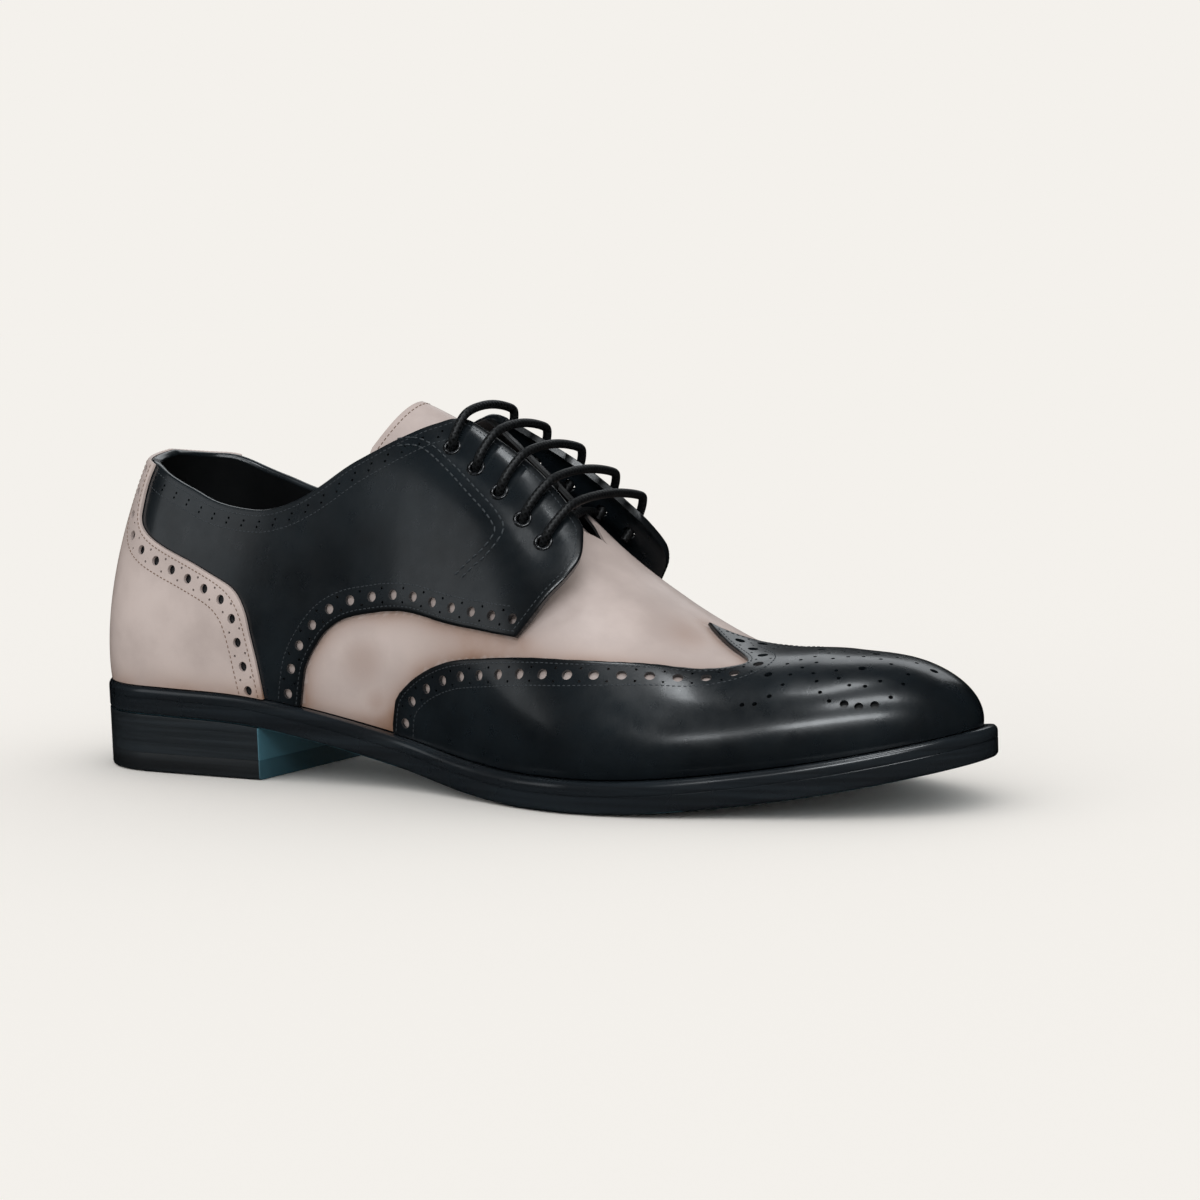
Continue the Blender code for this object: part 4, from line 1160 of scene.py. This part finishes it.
# The toe ornament, mirrored about the toe's middle line: ahead of the heel's back, aside, radius, in mm
ORNAMENT = [
    (256.0, 0.0, 1.25), (268.0, 0.0, 0.60), (274.0, 0.0, 1.25), (280.5, 0.0, 0.60), (286.5, 0.0, 0.60),
    (292.0, 0.0, 1.25), (261.5, 5.2, 0.60), (259.5, 9.6, 0.60), (256.8, 13.2, 0.60), (254.4, 16.6, 0.60),
    (251.6, 22.8, 1.20), (262.3, 13.8, 0.60), (265.2, 9.7, 0.60), (268.4, 6.6, 0.60), (272.4, 4.9, 0.60),
    (260.0, 18.0, 0.60), (258.4, 21.8, 0.60), (258.2, 26.0, 0.60), (256.5, 30.0, 0.70), (253.2, 32.8, 0.70),
    (249.4, 33.8, 0.70), (264.6, 19.6, 0.60), (267.0, 22.4, 0.60), (269.8, 25.2, 0.60), (270.0, 16.6, 0.60),
    (272.4, 19.4, 0.60), (276.3, 13.2, 1.10), (276.4, 20.8, 0.60), (280.6, 19.2, 0.60), (283.6, 15.8, 0.60),
    (273.2, 26.4, 0.65), (277.2, 25.4, 1.25), (281.0, 24.2, 1.25), (284.8, 21.8, 1.25), (288.0, 18.2, 0.65),
    (289.2, 13.2, 0.60), (288.6, 8.8, 0.60), (282.2, 7.0, 0.60), (278.0, 5.0, 0.60),
]


def ornament():
    """The punches of the toe's ornament, each found on the cap by its place in plan."""
    step, climb = np.meshgrid(np.linspace(0.66, 1.0, 200), np.linspace(0.05, 0.985, 200), indexing="ij")
    step, climb = step.ravel(), climb.ravel()
    centres, outs, sizes = [], [], []
    for side in BOTH:
        grid = place(step, climb, side, 0.0)
        for ahead, aside, radius in ORNAMENT:
            if aside == 0 and side > 0:
                continue
            target = np.array([HEEL_BACK + ahead * MM, TOE_SHIFT + side * aside * MM])
            nearest = int(np.argmin(((grid[:, :2] - target) ** 2).sum(1)))
            centres.append(grid[nearest])
            outs.append(facing_out(step[nearest:nearest + 1], climb[nearest:nearest + 1], side)[0])
            sizes.append(radius * MM)
    return pegs(np.array(centres), np.array(outs), np.array(sizes), 14)


def build_wing():
    """The black winged toe cap: rows climb one side and go down the other, and columns run from its edge to
    the toe, each a share of the way between the two steps."""
    shares = crowded(150, 170 * MM, both=False)
    climb = np.linspace(0, 1, 72)
    rows_climb = np.concatenate([climb, climb[-2::-1]])[None, :]
    rows_side = np.repeat(BOTH, [len(climb), len(climb) - 1])[None, :]
    line = read(WING_LINE, 1, rows_climb)
    step = line + (1 - line) * shares[:, None]
    step, climb, side = np.broadcast_arrays(step, rows_climb, rows_side)
    edge = edge_points([wing_edge()])
    gap = least_gap(place(step, climb, side, 0.0), edge)
    outer = place(step, climb, side, lip(gap))
    inner = place(step, climb, side, -OVERLAY)
    piece = wall("wing_cap_leather", outer, inner, folded=True)
    punch(piece, wing_holes())
    soften(piece)
    paint(piece, "burnish", rub(least_gap(points_of(piece), edge)))
    return finish_piece(piece, "black_calf", LOOKS["black"], "wing_cap")


def quarter_grid(u, v):
    """Ruled from lower to upper edge, then pushed out at the front to the flap's own curve."""
    push = ease((u - 0.72) / 0.28)[:, None]
    grids = []
    for axis, low, high, front in zip((1, 2), lower_edge(u), upper_edge(u), front_edge(v)):
        ruled = low[:, None] * (1 - v) + high[:, None] * v
        straight = LOWER_EDGE[-1][axis] * (1 - v) + UPPER_EDGE[-1][axis] * v
        grids.append(ruled + push * (front - straight))
    return grids


def build_quarter(side, label):
    """A black quarter with its lacing flap: a wall that grows thicker where it is the flap and lined, kept
    clear of the shoe's middle. It is punched along its lower edge and its rim, and at its eyelets."""
    u = crowded(176, 200 * MM)
    v = crowded(80, 88 * MM)
    step, climb = quarter_grid(u, v)
    along = np.linspace(0, 1, 300)
    lower = lower_edge(QUARTER_FOOT + (1 - QUARTER_FOOT) * along)
    edge = edge_points([lower, front_edge(along), upper_edge(0.82 + 0.18 * along)], (side,), True)
    gap = least_gap(place(step, climb, side, 0.0, True), edge)
    outer = place(step, climb, side, lip(gap), True)
    lined = ease(flap_lift(step, climb) / (2.5 * MM))
    inner = place(step, climb, side, -(OVERLAY + (FLAP_THICK - OVERLAY) * lined), True)
    hidden = GAP / 2
    for grid in (outer, inner):
        grid[..., 1] = np.where(grid[..., 1] * side < hidden, side * hidden, grid[..., 1])
    piece = wall("quarter_leather_" + label, outer, inner)
    row = clear_of(beside(lower, side, HOLE_ROW), side, edge, HOLE_ROW)
    groups = punched_row(row, side, 3.0 * MM, lifted=True)
    top = upper_edge(np.linspace(0.215, FACING_FROM, 260))
    for offset in RIM_ROWS:
        at = spaced(beside(top, side, -offset), side, RIM_PITCH, 2.0 * MM, True)
        groups.append(holes(at, side, PINHOLE_RADIUS, 8, lifted=True, depth=0.9 * MM))
    groups.append(holes(np.transpose(EYELETS), side, EYELET_RADIUS, 18, lifted=True))
    punch(piece, groups)
    soften(piece)
    paint(piece, "burnish", rub(least_gap(points_of(piece), edge)))
    return finish_piece(piece, "black_calf", LOOKS["black"], "quarter_" + label)


def build_counter():
    """The pale counter and backstay round the heel: columns from one edge over the back to the other. It is
    burnished at its feather edge, at its cut edge, and in a bell of 6 mm round each of the heel's corners."""
    half = crowded(76, 95 * MM, both=False)
    share = 1 - np.concatenate([half, half[-2::-1]])
    side = np.repeat([1.0, -1.0], [len(half), len(half) - 1])[:, None]
    climb = crowded(66, 75 * MM)[None, :] * read(RIM, 1, COUNTER_END * share)[:, None]
    step = read(COUNTER_LINE, 1, climb) * share[:, None]
    step, climb, side = np.broadcast_arrays(step, climb, side)
    edge = edge_points([counter_edge()])
    rim_step = np.linspace(0, COUNTER_END, 60)
    rim = edge_points([(rim_step, read(RIM, 1, rim_step))])
    skin = place(step, climb, side, 0.0)
    gap = np.minimum(least_gap(skin, edge), least_gap(skin, rim))
    outer = place(step, climb, side, COUNTER_FACE + lip(gap))
    inner = place(step, climb, side, COUNTER_FACE - OVERLAY)
    piece = wall("counter_leather", outer, inner)
    groups = []
    for which in BOTH:
        row = clear_of(beside(counter_edge(), which, HOLE_ROW), which, edge, HOLE_ROW)
        groups += punched_row(row, which, 2.0 * MM, COUNTER_PITCH, COUNTER_FACE, deep=2.6 * MM)
    punch(piece, groups)
    soften(piece)
    verts = points_of(piece)
    feather = least_gap(verts, edge_points([feather_edge(0, 0.35)]))
    near_back = np.exp(-((np.abs(verts[:, 1]) - HEEL_CORNER) / (6 * MM)) ** 2)
    near_back *= ease((HEEL_BACK + 24 * MM - verts[:, 0]) / (14 * MM))
    glow = rub(feather, 0.75, 5 * MM) + rub(least_gap(verts, edge), 0.35, 1.6 * MM) + 0.9 * near_back
    paint(piece, "burnish", np.clip(glow, 0, 1))
    return finish_piece(piece, "pale_calf", LOOKS["pale"], "heel_counter")


def build_seams():
    """Every row of stitches, black thread on black calf and brown on pale."""
    black, brown = [], []
    along = np.linspace(0, 1, 400)
    wing = edge_points([wing_edge()])
    counter = edge_points([counter_edge()])
    for side in BOTH:
        for offset in (OUTER_ROW, INNER_ROW):
            row = clear_of(beside(wing_edge(400), side, -offset), side, wing, offset)
            black.append(stitches(row, side, 0.0))
        lower = lower_edge(QUARTER_FOOT + (1 - QUARTER_FOOT) * along)
        front = front_edge(along)
        facing = upper_edge(FACING_FROM + (1 - FACING_FROM) * along)
        rim = upper_edge(RIM_FROM + (FACING_FROM - RIM_FROM) * along)
        own = edge_points([lower, front, upper_edge(0.2 + 0.8 * along)], (side,), True)
        for line, offset in ((lower, OUTER_ROW), (lower, INNER_ROW), (front, FLAP_ROW), (facing, -FLAP_ROW),
                             (rim, -OUTER_ROW), (rim, -RIM_INNER_ROW)):
            moved = beside(line, side, offset)
            points = place(*moved, side, 0.0, True)
            keep = least_gap(points, own) > abs(offset) * 0.93
            black.append(stitches((moved[0][keep], moved[1][keep]), side, 0.0, True))
        stay = read(EYESTAY_ROW, 1, along), read(EYESTAY_ROW, 2, along)
        for offset in (-STAY_SPREAD, STAY_SPREAD):
            black.append(stitches(beside(stay, side, offset), side, 0.06 * MM, True, STAY_STITCH, 1.6))
        for offset in (OUTER_ROW, INNER_ROW + 0.4 * MM):
            row = clear_of(beside(counter_edge(400), side, offset), side, counter, offset, 24)
            brown.append(stitches(row, side, COUNTER_FACE))
    black_rows = sew("black_stitching", black)
    brown_rows = sew("brown_stitching", brown)
    finish_piece(black_rows, "black_calf", LOOKS["black_thread"])
    finish_piece(brown_rows, "pale_calf", LOOKS["brown_thread"])


# The tongue: steps of its top and its foot, climb and depth under the last at its sides, how far below the
# ridge the points lie that it is drawn towards, its thickness, the share of its length at which its border
# is stitched, and, in the table, its depth in millimetres along its middle at each step
TONGUE_TOP = 0.426
TONGUE_END = 0.600
TONGUE_SIDE = 0.54
TONGUE_SIDE_DEPTH = 5.0 * MM
TONGUE_CORE = 50.0 * MM
TONGUE_THICK = 2.0 * MM
TONGUE_ROW = 0.972
TONGUE = [(0.40, 9.2), (0.44, 9.3), (0.48, 9.0), (0.52, 8.2), (0.56, 7.4), (0.62, 6.8)]


def tongue_point(across, share, deeper):
    """The tongue: the last drawn in towards a line inside it, its top corners swept round."""
    side = np.where(across < 0, -1.0, 1.0)
    wide = np.abs(across)
    climb = 1 - (1 - TONGUE_SIDE) * wide
    top = TONGUE_TOP - 0.024 * wide ** 2 + 0.022 * np.clip((wide - 0.82) / 0.18, 0, 1) ** 2
    step = TONGUE_END + (top - TONGUE_END) * share
    depth = read(TONGUE, 1, step) * MM
    depth = TONGUE_SIDE_DEPTH + (depth - TONGUE_SIDE_DEPTH) * (1 - wide ** 2) + deeper
    surface = last_point(step, climb, side)
    core = last_point(step, np.ones_like(climb), side) - np.array([0, 0, TONGUE_CORE])
    return surface + unit(core - surface) * depth[..., None] + np.array([HEEL_BACK, 0, 0])


def build_tongue():
    """The pale tongue, an arched strip with a rounded free edge and a brown stitched border."""
    across = -1 + 2 * crowded(56, 52 * MM)
    share = crowded(76, 88 * MM)
    across, share = np.meshgrid(across, share, indexing="ij")
    gap = np.minimum((1 - np.abs(across)) * 26 * MM, (1 - share) * 88 * MM)
    outer = tongue_point(across, share, -lip(gap))
    inner = tongue_point(across, share, TONGUE_THICK + lip(gap))
    piece = wall("tongue_leather", outer, inner)
    soften(piece)
    paint(piece, "burnish", np.zeros(len(piece.data.vertices)))
    finish_piece(piece, "pale_calf", LOOKS["pale"], "tongue")
    edge = np.linspace(-0.93, 0.93, 200)
    path = tongue_point(edge, np.full(200, TONGUE_ROW), np.full(200, -0.02 * MM))
    length = walked(path)
    at = np.arange(1 * MM, length[-1], STITCH)
    centre = np.stack([np.interp(at, length, path[:, k]) for k in range(3)], -1)
    inward = tongue_point(np.interp(at, length, edge), np.full(len(at), TONGUE_ROW), np.full(len(at), 1 * MM))
    border = sew("tongue_stitching", [beads(centre, unit(centre - inward))])
    finish_piece(border, "pale_calf", LOOKS["brown_thread"])


def ring_loop(steps, inset, height, last_x=None):
    """A loop round the sole: outer side heel to toe, then inner side back, at a height over the underside."""
    loops = []
    for side in BOTH:
        share = raw_outline(steps, side)[1]
        inward = inset(share) if callable(inset) else np.full(len(steps), inset)
        plan = outline(steps, side, inward)[0]
        level = height(plan[:, 0] / SOLE_LENGTH) if callable(height) else np.full(len(steps), height)
        loops.append(np.concatenate([plan + [HEEL_BACK, 0], level[:, None]], 1))
    inner = loops[1][::-1][1:-1] if last_x is None else loops[1][::-1][:-1]
    found = np.concatenate([loops[0], inner])
    if last_x is not None:
        found[:, 0] = np.minimum(found[:, 0], last_x)
    return found


def stacked(name, steps, rings, closed_toe=True):
    """A solid of loops stacked from the bottom up, its two ends closed by strips from side to side."""
    count, size = len(steps), len(rings[0])
    ring = np.arange(size)
    turned = np.roll(ring, -1)
    faces = [quads(k * size + ring, k * size + turned, (k + 1) * size + turned, (k + 1) * size + ring)
             for k in range(len(rings) - 1)]
    opposite = np.concatenate([[0], size - np.arange(1, count)])
    if closed_toe:
        opposite[-1] = count - 1
    own = np.arange(count)
    ends = quads(own[:-1], opposite[:-1], opposite[1:], own[1:])
    top = (len(rings) - 1) * size
    verts = np.concatenate(rings)
    faces = outwards(verts, np.concatenate(faces + [ends, ends[:, ::-1] + top]))
    bm = bmesh.new()
    points = [bm.verts.new(tuple(map(float, v))) for v in verts]
    for face in faces:
        corners = list(dict.fromkeys(int(i) for i in face))
        if len(corners) > 2:
            bm.faces.new([points[i] for i in corners])
    bmesh.ops.remove_doubles(bm, verts=bm.verts, dist=1e-7)
    bmesh.ops.dissolve_degenerate(bm, edges=bm.edges, dist=1e-7)
    mesh = bpy.data.meshes.new(name)
    bm.to_mesh(mesh)
    bm.free()
    made = bpy.data.objects.new(name, mesh)
    bpy.context.scene.collection.objects.link(made)
    soften(made, 0.6)
    return made


def above(distance):
    """A height over the sole's underside, as a function of the share of length."""
    return lambda share: underside(share) + distance


def inside(distance):
    """A distance in from the feather edge, as a function of the share of length."""
    return lambda share: LEDGE * sole_at(share, "ledge") + distance


def edge_inset(height):
    """The trimmed edge's section: a quarter round at its lower corner and a wider one at its upper corner."""
    low = np.clip(1 - height / EDGE_LOW_ROUND, 0, 1)
    high = np.clip(1 - (WELT_TOP + 0.1 * MM - height) / EDGE_TOP_ROUND, 0, 1)
    return EDGE_LOW_ROUND * (1 - np.sqrt(1 - low ** 2)) + EDGE_TOP_ROUND * (1 - np.sqrt(1 - high ** 2))


def build_sole():
    """Outsole and welt, their edge trimmed to one round section with a hairline between them. The rings and
    the profile go up the edge and in over the top, at heights given in millimetres."""
    steps = even_steps(300)
    seat = 6 * MM
    heights = [0.0, 0.12, 0.40, 0.8, 1.3, 2.0, 3.2, 4.4]
    rings = [ring_loop(steps, edge_inset(height * MM), above(height * MM)) for height in heights]
    rings += [ring_loop(steps, 0.0, above(OUTSOLE_THICK - 0.15 * MM)),
              ring_loop(steps, 0.12 * MM, above(OUTSOLE_THICK)),
              ring_loop(steps, inside(seat), above(OUTSOLE_THICK)),
              ring_loop(steps, inside(seat), above(WELT_TOP - 0.4 * MM))]
    outsole = stacked("outsole_leather", steps, rings)
    bottom = outsole.data
    finish_piece(outsole, "sole_leather", LOOKS["edge"], "outsole")
    bottom.materials.append(LOOKS["bottom"])
    down = np.zeros(len(bottom.polygons) * 3, np.float32)
    bottom.polygons.foreach_get("normal", down)
    flat = (down.reshape(-1, 3)[:, 2] < -0.80).astype(np.int32)
    bottom.polygons.foreach_set("material_index", flat)
    foot = OUTSOLE_THICK + 0.05 * MM
    heights = [0.15, 0.8, 1.5, 2.1, 2.6, 3.0, 3.3, 3.5, 3.62, 3.68]
    profile = [(0.12 * MM, foot)]
    profile += [(edge_inset(foot + height * MM), foot + height * MM) for height in heights]
    profile += [(2.6 * MM, WELT_TOP + 0.08 * MM), (3.2 * MM, WELT_TOP - 0.05 * MM)]
    loops = [ring_loop(steps, inset, above(height)) for inset, height in profile]
    loops += [ring_loop(steps, inside(4.5 * MM), above(WELT_TOP - 0.1 * MM)),
              ring_loop(steps, inside(4.5 * MM), above(foot))]
    welt = hoop("welt_leather", np.stack(loops, 1))
    soften(welt, 0.8)
    finish_piece(welt, "sole_leather", LOOKS["edge"], "welt")


def build_heel():
    """The heel's stack of lifts, a fine groove between them, and the top lift it stands on."""
    fine = even_steps(300)
    at = raw_outline(fine, -1.0)[0][:, 0]
    steps = np.concatenate([fine[at < HEEL_LENGTH + 1 * MM], [fine[at >= HEEL_LENGTH + 1 * MM][0]]])
    lifts = 4
    fillet = 0.02

    def at_height(share_up):
        return lambda share: TOP_LIFT_THICK + (underside(share) + 0.05 * MM - TOP_LIFT_THICK) * share_up

    rings = []
    for number in range(lifts):
        low, high = number / lifts, (number + 1) / lifts
        rings += [ring_loop(steps, 0.05 * MM, at_height(low), BREAST),
                  ring_loop(steps, 0.02 * MM, at_height(low + fillet), BREAST),
                  ring_loop(steps, 0.02 * MM, at_height(high - fillet), BREAST)]
    rings.append(ring_loop(steps, 0.10 * MM, at_height(1.0), BREAST))
    stack = stacked("heel_stack_leather", steps, rings, closed_toe=False)
    finish_piece(stack, "stacked_heel", LOOKS["stack"], "heel_stack")
    profile = [(0.7 * MM, 0.0), (0.35 * MM, 0.10 * MM), (0.1 * MM, 0.40 * MM), (0.0, 0.8 * MM),
               (0.0, TOP_LIFT_THICK - 0.3 * MM), (0.18 * MM, TOP_LIFT_THICK - 0.02 * MM)]
    rings = [ring_loop(steps, inset, height, BREAST) for inset, height in profile]
    lift = stacked("top_lift_rubber", steps, rings, closed_toe=False)
    finish_piece(lift, "top_lift_rubber", LOOKS["lift"], "heel_top_lift")


def build_sock():
    """The sock: a thin padded leather sheet on the insole, its edge turned down."""
    steps = even_steps(160)
    clear = OVERLAY + 2 * GAP + 2.0 * MM
    top = WELT_TOP + INSOLE_THICK
    profile = [(clear, WELT_TOP + 0.2 * MM), (clear, top - 0.6 * MM), (clear + 0.3 * MM, top),
               (clear + 1.2 * MM, top + 0.3 * MM)]
    rings = [ring_loop(steps, inside(inset), above(height)) for inset, height in profile]
    sock = stacked("sock_leather", steps, rings)
    finish_piece(sock, "sock_lining", LOOKS["sock"], "insole")


def build_eyelets():
    """Enamelled rings: a small oval section turned about each lace hole."""
    section = around(12)
    reach = 2.35 * MM + 0.62 * MM * np.cos(section)
    height = 0.12 * MM + 0.42 * MM * np.sin(section)
    for side, label in zip(BOTH, ("outer", "inner")):
        for number, (step, climb) in enumerate(EYELETS, 1):
            step, climb = np.array([step]), np.array([climb])
            out = facing_out(step, climb, side, True)
            centre = place(step, climb, side, 0.0, True)
            across = unit(np.cross(out, [1.0, 0.0, 0.0]))
            spoke = spokes(around(28), across, np.cross(out, across))[0]
            grid = centre + spoke[:, None] * reach[None, :, None] + out * height[None, :, None]
            piece = hoop(f"eyelet_ring_{label}_{number}", grid)
            piece.data.shade_smooth()
            finish_piece(piece, "eyelet_enamel", LOOKS["ring"], f"eyelet_{label}_{number}")


def build_laces():
    """Five bars: up out of the outer eyelet, over both facing edges, and down into the inner eyelet. Four
    slanting runs under the flaps join each bar to the next."""
    near, far = BOTH
    radius = LACE_DIAMETER / 2
    rise = np.array([0.0, 0.0, 1.0])
    for number, ((step, climb), facing) in enumerate(zip(EYELETS, FACING_CLIMB), 1):
        def over(side, share, height):
            at = climb + (facing - climb) * share
            return place(np.array([step]), np.array([at]), side, height, True)[0]

        points = [over(near, -0.10, -4.0 * MM), over(near, 0.02, -1.0 * MM), over(near, 0.10, radius),
                  over(near, 0.30, radius + 0.9 * MM), over(near, 0.62, radius + 1.0 * MM),
                  over(near, 1.0, radius + 1.6 * MM)]
        ends = [over(far, 0.86, radius + 2.6 * MM), over(far, 0.62, radius + 3.2 * MM),
                over(far, 0.34, radius + 2.4 * MM), over(far, 0.10, radius + 0.2 * MM),
                over(far, -0.02, -1.6 * MM), over(far, -0.10, -4.0 * MM)]
        crown = (points[-1] * 0.48 + ends[0] * 0.52) + rise * 1.7 * MM
        path = smooth_through(points + [crown] + ends, 76)
        bar = tube(f"lace_{number}", path, radius, np.array([1.0, 0.0, 0.0]), 14)
        bar.data.shade_smooth()
        finish_piece(bar, "waxed_cord", LOOKS["lace"], f"lace_bar_{number}")
    for number in range(4):
        (step, climb), (ahead, beyond) = EYELETS[number], EYELETS[number + 1]
        first = place(np.array([step]), np.array([climb + 0.02]), 1.0, -4.2 * MM, True)[0]
        last = place(np.array([ahead]), np.array([beyond + 0.02]), -1.0, -4.2 * MM, True)[0]
        middle = (first + last) / 2 + rise * 3.0 * MM
        path = smooth_through([first, (first + middle) / 2 + rise * 1.2 * MM, middle,
                               (last + middle) / 2 + rise * 1.2 * MM, last], 30)
        under = tube(f"lace_under_{number + 1}", path, radius, np.array([1.0, 0.3, 0.0]), 12)
        under.data.shade_smooth()
        finish_piece(under, "waxed_cord", LOOKS["lace"])


def vamp_look():
    """The pale calf turned black where its painted layer says: black underlay under the toe's ornament,
    and painted shade under the flaps.
    """
    made = LOOKS["pale"].copy()
    made.name = "pale_calf_on_black_underlay"
    tree = made.node_tree
    shader = tree.nodes["Principled BSDF"]
    tone = shader.inputs["Base Color"].links[0].from_socket
    # Black from the painted layer: underlay under the toe cap, painted shade under the flaps
    under = add(tree, "ShaderNodeAttribute", attribute_name="underlay")
    dyed = add(tree, "ShaderNodeMix", {0: under.outputs["Fac"], 6: tone, 7: linear("#08090a")}, **COLOURS)
    tree.links.new(dyed.outputs[2], shader.inputs["Base Color"])
    return made


# The floor's half width and its drop below the soles, in metres, and the room's light
FLOOR_REACH = 6.0
FLOOR_DROP = 0.0002
ROOM_COLOUR = "#f4f1ec"
LAMP_COLOUR = (0.93, 0.97, 1.0)

# Lamps: place, aim, width and height in metres, watts
LIGHTS = [
    ("overhead_box", (0.42, -0.36, 1.02), (0.10, 0.0, 0.06), (0.42, 0.20), 2.2),
    ("lacing_box", (0.04, 0.02, 1.10), (0.10, 0.0, 0.10), (0.26, 0.14), 1.0),
    ("front_strip", (0.52, -0.82, 0.68), (0.20, 0.0, 0.05), (0.60, 0.17), 3.6),
    ("rear_box", (-0.38, 1.05, 0.72), (0.15, 0.0, 0.06), (1.20, 0.45), 1.8),
    ("heel_box", (-0.80, -0.75, 0.45), (0.0, 0.0, 0.05), (0.35, 0.60), 0.5),
]


def build_stage():
    """A pale floor that runs out of sight, lit by the room alone, and soft lamps for the shoe."""
    corners = [(-1, -1), (1, -1), (1, 1), (-1, 1)]
    floor = new_mesh("studio_floor", [(x * FLOOR_REACH, y * FLOOR_REACH, -FLOOR_DROP) for x, y in corners],
                     [(0, 1, 2, 3)])
    floor.data.materials.append(plain_floor())
    unlit = bpy.data.collections.new("lit_by_the_room_alone")
    unlit.objects.link(floor)
    unlit.collection_objects[0].light_linking.link_state = "EXCLUDE"
    world = bpy.data.worlds.new("soft_studio")
    bpy.context.scene.world = world
    world.use_nodes = True
    world.node_tree.nodes["Background"].inputs["Color"].default_value = linear(ROOM_COLOUR)
    world.node_tree.nodes["Background"].inputs["Strength"].default_value = 1.0
    world.cycles_visibility.glossy = False
    floor.visible_glossy = False
    bpy.context.scene.view_settings.view_transform = "Standard"
    for name, at, aim, size, power in LIGHTS:
        lamp = bpy.data.lights.new(name, "AREA")
        lamp.shape = "RECTANGLE"
        lamp.size, lamp.size_y = size
        lamp.energy = power
        lamp.color = LAMP_COLOUR
        thing = bpy.data.objects.new(name, lamp)
        aimed = (Vector(aim) - Vector(at)).to_track_quat("-Z", "Y").to_matrix().to_4x4()
        thing.matrix_world = Matrix.Translation(at) @ aimed
        thing.visible_camera = False
        thing.light_linking.receiver_collection = unlit
        bpy.context.scene.collection.objects.link(thing)


# The camera: where it looks, from how far, and its turn, tilt and roll in degrees
CAMERA_TARGET = Vector((183.75 * MM + HEEL_BACK, 0.0, 54.677 * MM))
CAMERA_DISTANCE = 924.4 * MM
CAMERA_TURN = 34.06
CAMERA_TILT = 6.19
CAMERA_ROLL = -2.20
CAMERA_LENS = 93.65


def build_camera():
    """The camera on a line out from its target, rolled about that line."""
    turn, tilt, roll = np.radians([CAMERA_TURN, CAMERA_TILT, CAMERA_ROLL])
    back = Vector((np.sin(turn) * np.cos(tilt), -np.cos(turn) * np.cos(tilt), np.sin(tilt)))
    level = Vector((np.cos(turn), np.sin(turn), 0.0))
    upright = back.cross(level).normalized()
    right = level * np.cos(roll) + upright * np.sin(roll)
    up = upright * np.cos(roll) - level * np.sin(roll)
    lens = bpy.data.cameras.new("camera")
    lens.lens = CAMERA_LENS
    lens.sensor_width = 36.0
    lens.clip_start = 0.01
    camera = bpy.data.objects.new("camera", lens)
    turned = Matrix((right, up, back)).transposed().to_4x4()
    camera.matrix_world = Matrix.Translation(CAMERA_TARGET + back * CAMERA_DISTANCE) @ turned
    bpy.context.scene.collection.objects.link(camera)
    bpy.context.scene.camera = camera


LOOKS["vamp"] = vamp_look()
build_camera()
build_stage()
build_sole()
build_heel()
build_sock()
build_vamp()
build_lining()
build_wing()
build_quarter(-1.0, "outer")
build_quarter(1.0, "inner")
build_counter()
build_topline()
build_tongue()
build_seams()
build_eyelets()
build_laces()
